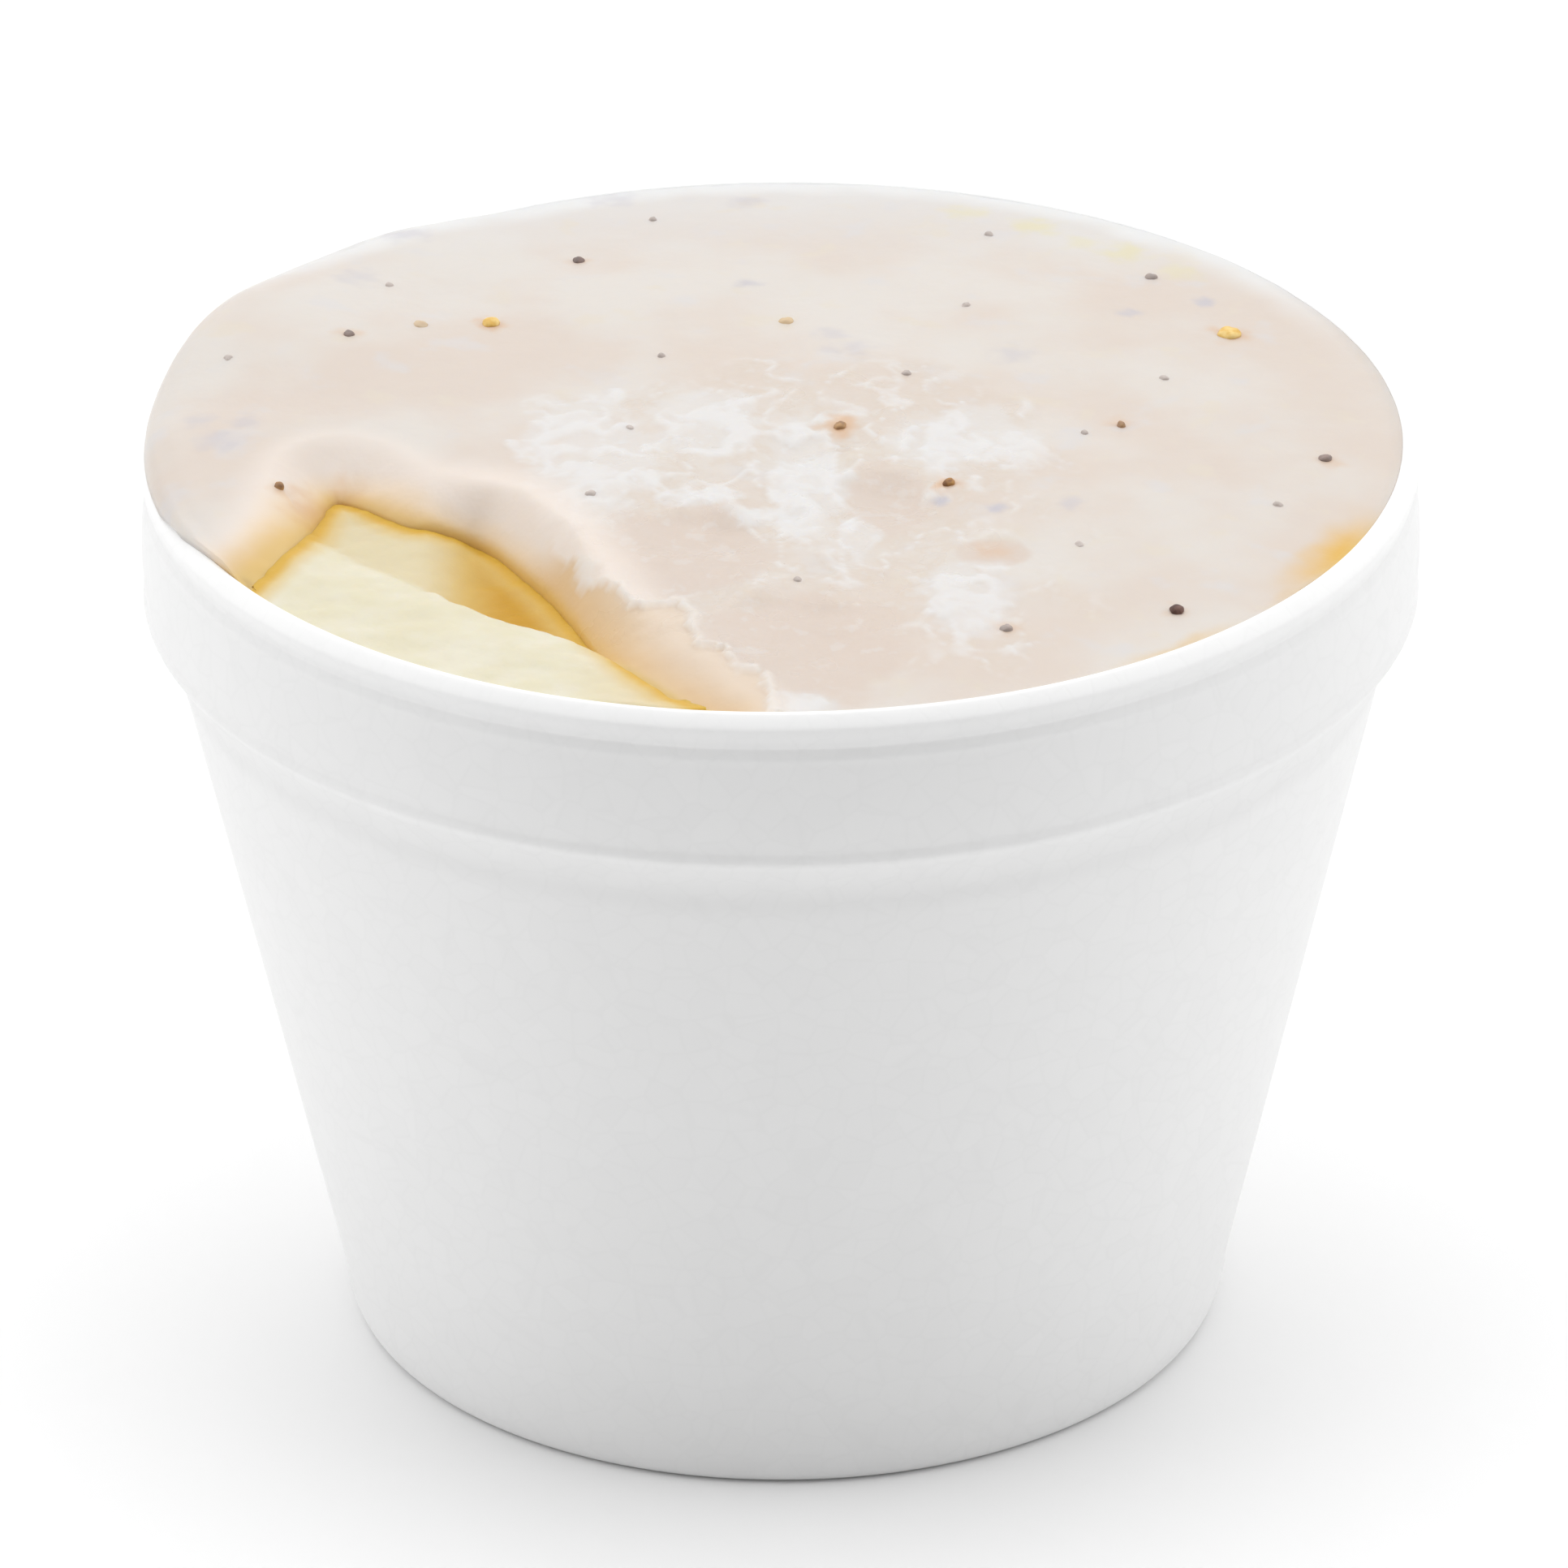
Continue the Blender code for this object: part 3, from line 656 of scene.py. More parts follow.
potato_constants = {
    "Specular IOR Level": 0.3,
    "Subsurface Weight": 0.3,
    "Subsurface Radius": (1.0, 0.75, 0.35),
    "Subsurface Scale": 1.6 * mm,
}
mash, nodes, shader = new_material("mash", potato_constants)
place = nodes.add("ShaderNodeTexCoord", output="Object")
butter_pool_and_shadow = nodes.attribute("butter_pool_and_shadow")
shelf = nodes.attribute("shelf")
streaks = nodes.noise(place, 4.0, 3.0)
fine = nodes.noise(place, 0.7, 2.0)
toward_front = (nodes.part(place, 0) / mm).ramp(-16.0, -7.0)
from_gravy = nodes.attribute("near_gravy") + streaks * 0.6 - 0.3
colour = nodes.layered((0.701, 0.652, 0.483, 1.0), (
    (streaks.ramp(0.35, 0.7), (0.729, 0.688, 0.556)),
    (toward_front * 0.7, (0.693, 0.547, 0.31)),
    # The shelf: a deeper golden tone, partly painted shade under the gravy's edge.
    (shelf * (0.5 + 0.4 * streaks), (0.647, 0.547, 0.329)),
    # Melted butter in the hollow, deepened to a dark gold that is partly painted shadow of the overhang.
    (butter_pool_and_shadow.ramp(0.0, 0.55) * 0.9, (0.65, 0.445, 0.12)),
    (butter_pool_and_shadow.ramp(0.3, 0.9), (0.535, 0.28, 0.004)),
    # A golden band on the mash along the gravy's edge: butter, partly painted crease shade, darkest at
    # the line.
    ((1.0 - from_gravy.ramp(0.7, 2.6)) * 0.75, (0.67, 0.47, 0.15)),
    ((1.0 - from_gravy.ramp(0.3, 1.3)) * 0.95, (0.65, 0.385, 0.045)),
))
feed(nodes, shader, "Base Color", colour)
feed(nodes, shader, "Roughness", 0.5 - 0.12 * butter_pool_and_shadow + 0.1 * (fine - 0.5))
nodes.bump(shader, 0.35, 0.12, fine + streaks * 1.5)
potato.data.materials.append(mash)
turned_out(potato)
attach(potato, "root")
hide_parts("mashed_potato")


# Pepper gravy
# Thick white gravy, ladled over the potato. It domes over the cup, laps over the rim at the left and
# ends in a soft edge that butter has stained. In the middle its skin has wrinkled into white shreds
# round smooth sunken dents, and it is torn along the broad face at the right of the opening.
# Its colour holds painted light and shade: shade at the crease, the opening's corner and the dents,
# light on the edge's wall, a highlight on the torn edge, wet highlights on the shreds, and a cooler
# grey and paler light toward the back rim.
gravy_wall_level = -0.4
gravy_dome = 2.5
lap_width = 0.8
lap_angles = (124.0, 195.0)
lap_fade = 16.0
lap_rounding = 2.4
lap_lobes = ((136.0, 13.0, 1.2), (158.0, 14.0, 3.2), (184.0, 17.0, 2.1), (205.0, 12.0, 0.7))
lobe_inner_radius = 18.0
lobe_spread = 1.6
edge_width = 3.4
face_width = 5.4
face_centre = (-8.5, -35.0)
face_reach = 9.5
corner_width = 5.2
corner_centre = (-30.0, -7.5)
corner_reach = 9.0
rim_margin = 0.5
fold_rise = 0.55
fold_centre = (1.0, -16.0)
fold_reach = (18.0, 25.0)
fold_size = 6.5
fold_seed = 4.0
dents = (
    (-6.5, -21.5, 8.5, 0.6),
    (2.0, -34.0, 8.5, 0.4),
    (8.0, -14.5, 5.0, 0.5),
    (15.0, -21.5, 4.0, 0.35),
)
swell_rise = 0.3
swell_sizes = (5.3, 6.1)
swell_shifts = (0.8, -0.4)
meniscus_rise = 0.3
meniscus_width = 0.9
back_rise = 0.3
back_start = (10.0, 20.0)
edge_sink = 0.15
gravy_pitch = 0.4
rim_rows = (0.08, 0.2, 0.4, 0.65, 0.95)
rim_clear = 1.25
crease_clear = 1.2
under_pitch = 3.0
under_clear = 1.5
under_gap = 0.3
side_radii = (44.3, 43.95, 43.75, 43.55)
top_margin = 0.06

# Middles and reaches of the smooth dents in the wrinkled skin, and of its whitest patches
facets = (
    (-7.2, -21.8, 6.8, 6.0),
    (1.6, -34.6, 7.4, 7.0),
    (7.4, -13.6, 2.6, 5.2),
    (14.6, -21.6, 2.4, 1.8),
)
facet_wander = 0.22
facet_seed = 8.1
shreds = (
    (-13.6, -7.0, 4.6, 9.5),
    (-5.2, -2.0, 3.2, 5.5),
    (1.8, -10.5, 2.6, 8.5),
    (12.6, -27.8, 3.0, 6.0),
    (-5.2, -14.0, 3.0, 1.1),
    (-0.8, -16.4, 2.2, 1.3),
    (-15.2, -16.2, 1.6, 3.4),
    (5.4, -18.8, 1.3, 3.6),
    (13.5, -4.5, 5.0, 5.0),
    (0.3, -42.0, 2.6, 1.4),
)
torn_line = (
    (-14.6, -20.6),
    (-12.2, -25.2),
    (-9.7, -27.9),
    (-6.7, -28.6),
    (-6.3, -31.6),
    (-5.8, -33.6),
    (-4.2, -35.2),
    (-3.3, -36.8),
    (-1.6, -38.4),
    (-0.9, -41.0),
    (-0.4, -43.6),
)
torn_rise = 0.22
shred_rise = 0.12
soft_rise = 0.1
grain_rise = 0.03
top_softness = 0.08


def angle_of(x, y):
    return np.degrees(np.arctan2(y, x)) % 360.0


def hump(offset, reach):
    """One at the middle, falling smoothly to nothing at the reach on both sides."""
    return smooth(1.0 - np.abs(offset) / reach)


def fold_share(x, y):
    """How far out each place lies in the wrinkled middle: one at its border."""
    return np.hypot((x - fold_centre[0]) / fold_reach[0], (y - fold_centre[1]) / fold_reach[1])


def back_share(y):
    return smooth((y - back_start[0]) / back_start[1])


def gravy_level(x, y):
    """The gravy's level away from its edges: a low dome, lobes over the left rim, folds and dents."""
    radius = np.hypot(x, y)
    level = gravy_wall_level + gravy_dome * (1.0 - (radius / gravy_radius) ** 2)
    angle = angle_of(x, y)
    outward = smooth((radius - lobe_inner_radius) / (gravy_radius - lobe_inner_radius))
    for lobe_angle, half_width, rise in lap_lobes:
        level = level + rise * outward * hump(angle - lobe_angle, lobe_spread * half_width)
    swell = np.sin(x / swell_sizes[0] + swell_shifts[0]) * np.cos(y / swell_sizes[1] + swell_shifts[1])
    level = level + swell_rise * swell * (1.0 - outward)
    spots = zip(x / fold_size, 1.3 * y / fold_size)
    folds = np.array([noise.fractal(Vector((*spot, fold_seed)), 1.0, 2.0, 2) for spot in spots])
    level = level + fold_rise * folds * smooth(1.4 - 1.4 * fold_share(x, y))
    for dent_x, dent_y, dent_reach, depth in dents:
        level = level - depth * hump(np.hypot(x - dent_x, y - dent_y), dent_reach)
    return level


def lap_share(angle):
    start, end = lap_angles
    return smooth((angle - start) / lap_fade) * smooth((end + lap_fade - angle) / lap_fade)


def rounded(share):
    share = np.clip(share, 0.0, 1.0)
    return np.sqrt(1.0 - (1.0 - share) ** 2)


def local_edge_width(x, y):
    from_face = np.hypot(x - face_centre[0], y - face_centre[1]) / face_reach
    from_corner = np.hypot(x - corner_centre[0], y - corner_centre[1]) / corner_reach
    width = between(edge_width, face_width, smooth(1.2 - from_face))
    return between(width, corner_width, smooth(1.2 - from_corner))


def wet_share(x, y):
    """Where the gravy's skin has wrinkled: the middle of the helping, down to the front rim."""
    return smooth((1.12 - fold_share(x, y) + 0.35 * lumps(x, y, 7.0, 2, 6.6)) / 0.3)


def patch_share(x, y, patches, wander, seed):
    """How far each place is inside the nearest of the patches, whose outlines wander."""
    share = np.zeros(len(x))
    strayed = wander * lumps(x, y, 3.2, 3, seed)
    for middle_x, middle_y, reach_x, reach_y in patches:
        reach = np.hypot((x - middle_x) / reach_x, (y - middle_y) / reach_y)
        share = np.maximum(share, smooth((1.0 - reach + strayed) / 0.35 + 0.5))
    return share


def behind_tear(x, y):
    """How far each place lies behind the torn edge of the skin, whose line is jagged."""
    jag_x = x + 0.55 * lumps(x, y, 1.5, 3, 12.3)
    jag_y = y + 0.75 * lumps(x, y, 1.9, 3, 14.8)
    return signed_distance(jag_x, jag_y, torn_curve)


def shred_share(x, y):
    """White shreds of skin: narrow crooked ridges, close together in the whitest patches."""
    warp_x = x + 1.6 * lumps(x, y, 4.0, 2, 1.7)
    warp_y = y + 1.6 * lumps(x, y, 4.0, 2, 5.2)
    ridges = 1.0 - np.abs(lumps(warp_x, 0.8 * warp_y, 3.6, 2, 9.3)) * 2.4
    small = 1.0 - np.abs(lumps(warp_x, warp_y, 1.9, 2, 7.9)) * 2.2
    patches = patch_share(x, y, shreds, 0.55, 3.7)
    share = smooth((ridges - 0.62 + 0.62 * patches) / 0.45) * (0.45 + 0.55 * smooth((small + 0.3) / 0.9))
    clear = 1.0 - 0.92 * patch_share(x, y, facets, facet_wander, facet_seed)
    return share * clear * np.maximum(wet_share(x, y), 0.9 * patches)


def skin_level(x, y):
    """The gravy's level with the shreds of its skin, its torn edge and its soft lumps."""
    behind = behind_tear(x, y)
    near_tear = smooth((-18.0 - y) / 5.0) * smooth((4.5 - np.abs(behind)) / 2.0)
    step = smooth(behind / 0.5 + 0.5) - 1.0
    lip = np.exp(-((behind - 0.25) / 0.32) ** 2)
    level = gravy_level(x, y) + soft_rise * lumps(x, y, 9.0, 2, 2.6) + shred_rise * shred_share(x, y)
    level = level + torn_rise * near_tear * (step + 0.9 * lip)
    from_wall = gravy_radius - np.hypot(x, y)
    at_back = back_share(y)
    meniscus = smooth(1.0 - from_wall / meniscus_width) * (1.0 - lap_share(angle_of(x, y)))
    level = level + meniscus_rise * meniscus * (1.0 - at_back) + grain_rise * lumps(x, y, 1.6, 2, 4.4)
    level = level + back_rise * at_back * smooth((np.hypot(x, y) - 30.0) / 10.0)
    highest = cad_box[1][2] / mm - rim_height - top_margin
    return highest - top_softness * np.logaddexp(0.0, (highest - level) / top_softness)


def gravy_outline():
    """The footprint's outline: the curve round the opening, then the arc round the rim."""
    wall_radius = inner_wall_radius(rim_height + gravy_wall_level + meniscus_rise) - touch_gap
    start = float(angle_of(*crease_curve[-1]))
    end = float(angle_of(*crease_curve[0])) + 360.0
    count = round(math.radians(end - start) * gravy_radius / curve_pitch)
    arc_points = []
    for step in range(1, count):
        angle = between(start, end, step / count)
        radius = between(wall_radius, gravy_radius + lap_width, float(lap_share(angle % 360.0)))
        arc_points.append(polar(radius, math.radians(angle)))
    first_radius = between(wall_radius, gravy_radius + lap_width, float(lap_share(end - 360.0)))
    first = crease_curve[0] * first_radius / np.hypot(*crease_curve[0])
    last = crease_curve[-1] * wall_radius / np.hypot(*crease_curve[-1])
    inside = crease_curve[np.hypot(*crease_curve.T) < gravy_radius - rim_margin]
    return np.vstack([first, inside, last]), np.array(arc_points)


def lip_height(radius):
    """How high the cup's rounded lip stands at a distance from the axis."""
    inward = np.clip((lip_crest_radius - radius) / (lip_crest_radius - lip_inner_radius), 0.0, 1.0)
    drop = lip_inner_drop * (1.0 - np.sqrt(1.0 - inward ** 2))
    lip_radii, lip_drops = zip(*lip_curve)
    widest = int(np.argmax(lip_radii)) + 1
    return rim_height - drop - np.interp(radius, lip_radii[:widest], lip_drops[:widest])


def inside_loop(places, loop):
    x = places[:, 0:1]
    y = places[:, 1:2]
    ends = np.roll(loop, -1, axis=0)
    crosses = (loop[:, 1] > y) != (ends[:, 1] > y)
    rise = np.where(ends[:, 1] == loop[:, 1], 1.0, ends[:, 1] - loop[:, 1])
    meets = (ends[:, 0] - loop[:, 0]) * (y - loop[:, 1]) / rise + loop[:, 0]
    return (crosses & (x < meets)).sum(axis=1) % 2 == 1


def even_grid(pitch, reach):
    rows = int(2.0 * reach / (pitch * 0.866)) + 2
    places = []
    for row in range(rows):
        shift = pitch / 2.0 * (row % 2)
        y = (row - rows / 2.0) * pitch * 0.866
        places += [((column - rows / 2.0) * pitch + shift, y) for column in range(rows)]
    return np.array(places)


def sheet_of(loop, places):
    """Triangles over the loop with the places inside it. The loop's points keep their order."""
    corners = [Vector(place) for place in np.vstack([loop, places])]
    found = geometry.delaunay_2d_cdt(corners, [], [list(range(len(loop)))], 1, 1e-6)
    place_of = {}
    for index, sources in enumerate(found[3]):
        for source in sources:
            place_of[source] = index
    flat = np.array([(corner.x, corner.y) for corner in found[0]])
    return flat, found[2], [place_of[index] for index in range(len(loop))]


def surface_heights(x, y, crease, level):
    """Heights of the gravy's surface, down to its edges at the crease and on the rim."""
    angle = angle_of(x, y)
    share = lap_share(angle)
    from_crease = np.maximum(signed_distance(x, y, crease), 0.0)
    from_rim = np.maximum(gravy_radius + lap_width * share - np.hypot(x, y), 0.0)
    top = rim_height + level(x, y)
    lap_floor = lip_height(np.hypot(x, y)) + touch_gap + 0.05
    lapped = between(lap_floor, np.maximum(top, lap_floor), rounded(from_rim / lap_rounding))
    top = between(top, lapped, share)
    floor = rim_height + mash_level(x, y) - edge_sink
    top = np.maximum(top, floor)
    share = from_crease / local_edge_width(x, y)
    return between(floor, top, 0.6 * rounded(share) + 0.4 * smooth(share))


torn_curve = curve_points(torn_line, curve_pitch)
crease, arc_points = gravy_outline()
loop = np.vstack([crease, arc_points])
runs = np.gradient(crease, axis=0)
normals = np.stack([-runs[:, 1], runs[:, 0]], axis=1) / np.hypot(runs[:, 0], runs[:, 1])[:, None]
inner_places = []
for row in rim_rows:
    candidates = crease + normals * row
    clear = signed_distance(*candidates.T, crease) > 0.9 * row
    inner_places.append(candidates[clear & inside_loop(candidates, loop)])
    lengths = np.hypot(*arc_points.T)
    candidates = arc_points * ((lengths - row) / lengths)[:, None]
    clear = signed_distance(*candidates.T, crease) > 1.1 * row
    inner_places.append(candidates[clear])
grid = even_grid(gravy_pitch, gravy_radius + lap_width)
share = lap_share(angle_of(*grid.T))
clear = gravy_radius - 0.1 + (lap_width + 0.1) * share - np.hypot(*grid.T) > rim_clear
clear &= np.abs(signed_distance(*grid.T, crease)) > crease_clear
grid = grid[clear]
inner_places.append(grid[inside_loop(grid, loop)])
flat, faces, edge = sheet_of(loop, np.vstack(inner_places))
top = surface_heights(*flat.T, crease, skin_level)

# The gravy's underside lies on the potato. Its side follows the lip from the outer edge down to there.
foot_radius = inner_wall_radius(rim_height + potato_wall_level) - touch_gap
coarse = even_grid(under_pitch, gravy_radius)
clear = np.hypot(*coarse.T) < gravy_radius - under_pitch
clear &= signed_distance(*coarse.T, crease) > under_clear
coarse = coarse[clear & inside_loop(coarse, loop)]
loop_radius = np.hypot(*loop.T)
foot_loop = loop * np.minimum(1.0, foot_radius / loop_radius)[:, None]
under_flat, under_faces, under_edge = sheet_of(foot_loop, coarse)
under = rim_height + potato_level(*under_flat.T) + under_gap
under[under_edge] = np.minimum(under[under_edge], top[edge] - 0.1)

points = in_metres(*flat.T, top)
gravy_faces = [tuple(face) for face in faces]
rings = [edge]
for step, side_radius in enumerate(side_radii, start=1):
    radius = np.minimum(side_radius, loop_radius - 0.01 * step)
    spots = loop * (radius / loop_radius)[:, None]
    heights = np.minimum(lip_height(radius) + 0.03, top[edge] - 0.02 * step)
    rings.append(list(range(len(points), len(points) + len(loop))))
    points += in_metres(*spots.T, heights)
base = len(points)
points += in_metres(*under_flat.T, under)
gravy_faces += [tuple(base + index for index in reversed(face)) for face in under_faces]
rings.append([base + index for index in under_edge])
for upper, lower in zip(rings, rings[1:]):
    for number in range(len(loop)):
        after = (number + 1) % len(loop)
        gravy_faces.append((upper[number], lower[number], lower[after], upper[after]))
mesh = bpy.data.meshes.new("gravy")
mesh.from_pydata(points, [], gravy_faces)
mesh.shade_smooth()
gravy = linked("gravy", mesh)

# Masks for the gravy's colours: butter along the opening and at the rim, the torn face, the shreds
# and dents of the skin, and places where a pepper grain has stained the gravy or lies under it.
# Some carry painted light and shade: shade by the crease, at the opening's corner and in the dents,
# and light on the edge's wall, the torn edge, the shreds and the back rim.
rim_butter = (
    (333.5, 12.0, 2.9, 1.0),
    (325.0, 7.0, 1.1, 0.35),
    (309.0, 10.0, 1.4, 0.45),
)
stains_and_shade = (
    (11.7, -11.9, 1.6, 0.85),
    (4.2, -3.1, 2.1, 0.75),
    (-20.5, 15.7, 1.6, 0.6),
    (32.0, 15.5, 1.9, 0.6),
    (14.6, -21.2, 1.9, 0.35),
    (23.9, -0.9, 1.4, 0.4),
    (38.4, -4.9, 1.5, 0.4),
    (27.0, -28.6, 1.2, 0.3),
    (15.3, -32.1, 1.5, 0.3),
    (-14.4, 28.0, 1.2, 0.35),
    (-30.5, 11.8, 1.4, 0.4),
    (-34.6, -11.2, 1.3, 0.4),
    # Painted shadow: these two spots darken the gravy's slope at the opening's left corner.
    (-32.5, -11.5, 3.0, 0.5),
    (-30.3, -7.8, 1.7, 0.35),
)
smudges = (
    (-39.1, -4.5, 2.2, 0.5),
    (-40.7, -1.0, 1.8, 0.4),
    (-37.5, -1.3, 1.8, 0.5),
    (16.6, 10.1, 2.2, 0.4),
    (5.1, 10.2, 2.4, 0.4),
    (3.7, 13.2, 1.8, 0.4),
    (-26.9, 33.0, 2.6, 0.5),
    (-30.8, 33.2, 2.2, 0.4),
    (-30.3, 23.5, 2.6, 0.4),
    (-2.3, 39.5, 2.0, 0.5),
    (-12.0, 40.5, 2.4, 0.4),
    (20.0, -14.5, 1.4, 0.5),
    (15.0, -15.6, 1.1, 0.9),
    (11.0, -14.1, 0.9, 1.0),
    (24.9, 18.4, 1.2, 0.8),
    (30.2, 21.0, 1.2, 0.8),
    (-2.3, 22.9, 1.2, 0.8),
)
straw_patches = (
    (13.6, 37.2, 2.2, 0.45),
    (18.5, 34.8, 2.6, 0.6),
    (22.0, 31.6, 2.0, 0.4),
    (24.9, 29.9, 2.6, 0.6),
    (28.9, 26.6, 2.2, 0.45),
)


def spots_share(x, y, spots):
    """How far each place is inside the soft round spots, each with a strength of its own."""
    share = np.zeros(len(x))
    strayed = 0.5 * lumps(x, y, 1.3, 2, 15.1)
    for middle_x, middle_y, reach, strength in spots:
        inside = smooth(1.0 - np.hypot(x - middle_x, y - middle_y) / reach + strayed)
        share = np.maximum(share, strength * inside)
    return share


def rim_butter_share(x, y):
    """Where butter shows between the gravy and the cup's rim."""
    from_wall = gravy_radius - np.hypot(x, y) + 0.7 * lumps(x, y, 2.6, 2, 11.6)
    angle = angle_of(x, y)
    share = np.zeros(len(x))
    for middle, half_width, depth, strength in rim_butter:
        reached = hump(angle - middle, half_width) * smooth(1.3 - from_wall / depth)
        share = np.maximum(share, strength * reached)
    return share


x, y, z = mesh_places(gravy.data)
behind = behind_tear(x, y)
from_crease = np.maximum(signed_distance(x, y, crease), 0.0)
over_mash = z - rim_height - mash_level(x, y)
by_face = smooth((-17.0 - y) / 5.0) * smooth((9.0 - from_crease) / 1.5)
add_mask(gravy.data, "from_crease", from_crease)
add_mask(gravy.data, "over_mash", over_mash)
add_mask(gravy.data, "face", by_face * smooth(0.5 - behind / 0.4))
add_mask(gravy.data, "torn_edge_highlight", by_face * np.exp(-((behind - 0.2) / 0.3) ** 2))
add_mask(gravy.data, "facet", patch_share(x, y, facets, facet_wander, facet_seed))
add_mask(gravy.data, "whitish", patch_share(x, y, shreds, 0.5, 5.5))
add_mask(gravy.data, "shred_and_glint", shred_share(x, y))
add_mask(gravy.data, "wet", wet_share(x, y))
add_mask(gravy.data, "stain_and_shade", spots_share(x, y, stains_and_shade))
add_mask(gravy.data, "smudge", spots_share(x, y, smudges))
add_mask(gravy.data, "straw", spots_share(x, y, straw_patches))
add_mask(gravy.data, "rim_butter", rim_butter_share(x, y))
# Painted light: the gravy pales toward the bright rim at the back.
from_wall = gravy_radius - np.hypot(x, y) + 0.8 * lumps(x, y, 5.0, 2, 13.7)
add_mask(gravy.data, "painted_rim_light", smooth(1.2 - from_wall / 3.0) * back_share(y))

gravy_constants = {
    "Subsurface Weight": 0.25,
    "Subsurface Radius": (1.0, 0.8, 0.55),
    "Subsurface Scale": 1.2 * mm,
    "Coat Roughness": 0.2,
}
sauce, nodes, shader = new_material("sauce", gravy_constants)
place = nodes.add("ShaderNodeTexCoord", output="Object")
back = nodes.part(place, 1) / mm
names = [attribute.name for attribute in gravy.data.attributes if attribute.data_type == "FLOAT"]
masks = {name: nodes.attribute(name) for name in names}
broad = nodes.noise(place, 14.0, 3.0)
patchy = nodes.noise(place, 4.5, 3.0)
flecks = nodes.noise(place, 1.5, 3.0)
fine = nodes.noise(place, 0.8, 2.0)
# White flecks over the wet middle and the whitish patches: paler skin with painted wet highlights.
speckle = masks["wet"] * flecks.ramp(0.55, 0.68) * 0.3 + masks["whitish"] * (0.25 + 0.5 * flecks)
by_crease = 1.0 - masks["from_crease"].ramp(2.0, 4.8)
soaked = 1.0 - (masks["over_mash"] + (patchy - 0.5) * 0.8).ramp(0.6, 2.5)
near_line = 1.0 - (masks["over_mash"] + (patchy - 0.5) * 0.3).ramp(0.25, 1.3)
face_tone = masks["from_crease"].ramp(0.3, 4.6)
face_colour = nodes.mix(face_tone, (0.67, 0.45, 0.21, 1.0), (0.71, 0.58, 0.455, 1.0))
colour = nodes.layered((0.66, 0.573, 0.505, 1.0), (
    (broad.ramp(0.35, 0.65), (0.678, 0.632, 0.585)),
    # Painted shade and cool reflection: the gravy is greyer toward the back, where its slope falls away.
    (back.ramp(24.0, 41.0) * 0.7, (0.665, 0.656, 0.647)),
    (patchy.ramp(0.58, 0.72) * 0.5, (0.638, 0.62, 0.624)),
    ((1.0 - patchy.ramp(0.3, 0.4)) * 0.45, (0.684, 0.611, 0.502)),
    (masks["wet"] * (0.25 + 0.5 * flecks.ramp(0.4, 0.65)), (0.638, 0.543, 0.456)),
    # The smooth sunken dents: a pinkish tan, partly painted shade where they slope away from the light.
    (masks["facet"] * (0.6 + 0.4 * patchy), (0.635, 0.53, 0.455)),
    # White flecks: paler skin with painted wet highlights.
    (speckle, (0.697, 0.679, 0.665)),
    # The white shreds: paler skin, partly painted wet highlight.
    (masks["shred_and_glint"] * (0.5 + 0.45 * flecks), (0.729, 0.72, 0.716)),
    # Painted light: the gravy's wall up from the crease is lightened to lift its shade.
    ((1.0 - masks["from_crease"].ramp(3.0, 7.0)) * 0.85, (0.79, 0.70, 0.63)),
    # Butter soaked into the thin edge. Its lightness is partly painted light that lifts the corner's
    # shade.
    (soaked * by_crease * 0.9, (0.79, 0.61, 0.40)),
    # The broad face right of the opening: thin gravy tinted by the butter under it, partly painted
    # shade.
    (masks["face"] * 0.92, face_colour),
    # Painted highlight along the torn edge of the skin.
    (masks["torn_edge_highlight"] * 0.75, (0.75, 0.70, 0.65)),
    # A dark golden line at the crease: butter, partly painted crease shadow.
    (near_line * by_crease * 0.85, (0.70, 0.455, 0.13)),
    (masks["rim_butter"], (0.71, 0.42, 0.06)),
    # Painted light: the gravy pales into the bright rim at the back.
    (masks["painted_rim_light"] * 0.85, (0.75, 0.75, 0.745)),
    (masks["straw"], (0.69, 0.63, 0.36)),
    # Pepper stains, and painted shadow on the slope at the opening's corner.
    (masks["stain_and_shade"], (0.65, 0.37, 0.17)),
    (masks["smudge"], (0.51, 0.485, 0.53)),
))
feed(nodes, shader, "Base Color", colour)
feed(nodes, shader, "Roughness", 0.40 - 0.12 * masks["wet"] + 0.1 * (patchy - 0.5))
feed(nodes, shader, "Coat Weight", 0.1 + 0.3 * masks["wet"])
nodes.bump(shader, 0.3, 0.1, fine + patchy * 1.2 + masks["wet"] * flecks * 2.0)
gravy.data.materials.append(sauce)
turned_out(gravy)
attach(gravy, "root")
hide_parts("pepper_gravy")


# Pepper
# Coarse black pepper, ground into the gravy: dark and brown grains and a few pale husks. Each is a
# small flat chip, half sunk in the gravy. The large ones are set in place, the small ones scattered.
large_flakes = (
    (32.0, 15.5, 1.9, "husk", 0.0),
    (-20.5, 15.7, 1.5, "husk", 0.0),
    (27.0, -28.6, 1.15, "dark", 0.0),
    (38.1, -4.7, 1.15, "dark", 0.35),
    (11.7, -11.9, 1.0, "brown", 0.05),
    (4.2, -3.1, 1.0, "brown", 0.3),
    (-25.5, 14.7, 1.2, "husk", 0.75),
    (0.5, 15.6, 1.2, "husk", 0.65),
    (-14.4, 28.0, 1.0, "dark", 0.25),
    (26.7, 25.2, 1.0, "dark", 0.6),
    (-30.5, 11.8, 1.0, "dark", 0.35),
    (15.3, -32.1, 1.0, "dark", 0.6),
)
small_flake_tones = (0.8, 1.0)
flake_sink = (-0.05, 0.15)
small_flake_count = 14
small_flake_lengths = (0.7, 0.95)
small_flake_spacing = 7.5
flake_field_radius = 40.0
flake_margin = face_width / 2.0 + 3.0
flake_seed = 7
flake_thickness = 0.8
flake_share = 0.9
flake_breadth = 0.95
flake_turn = 137.5
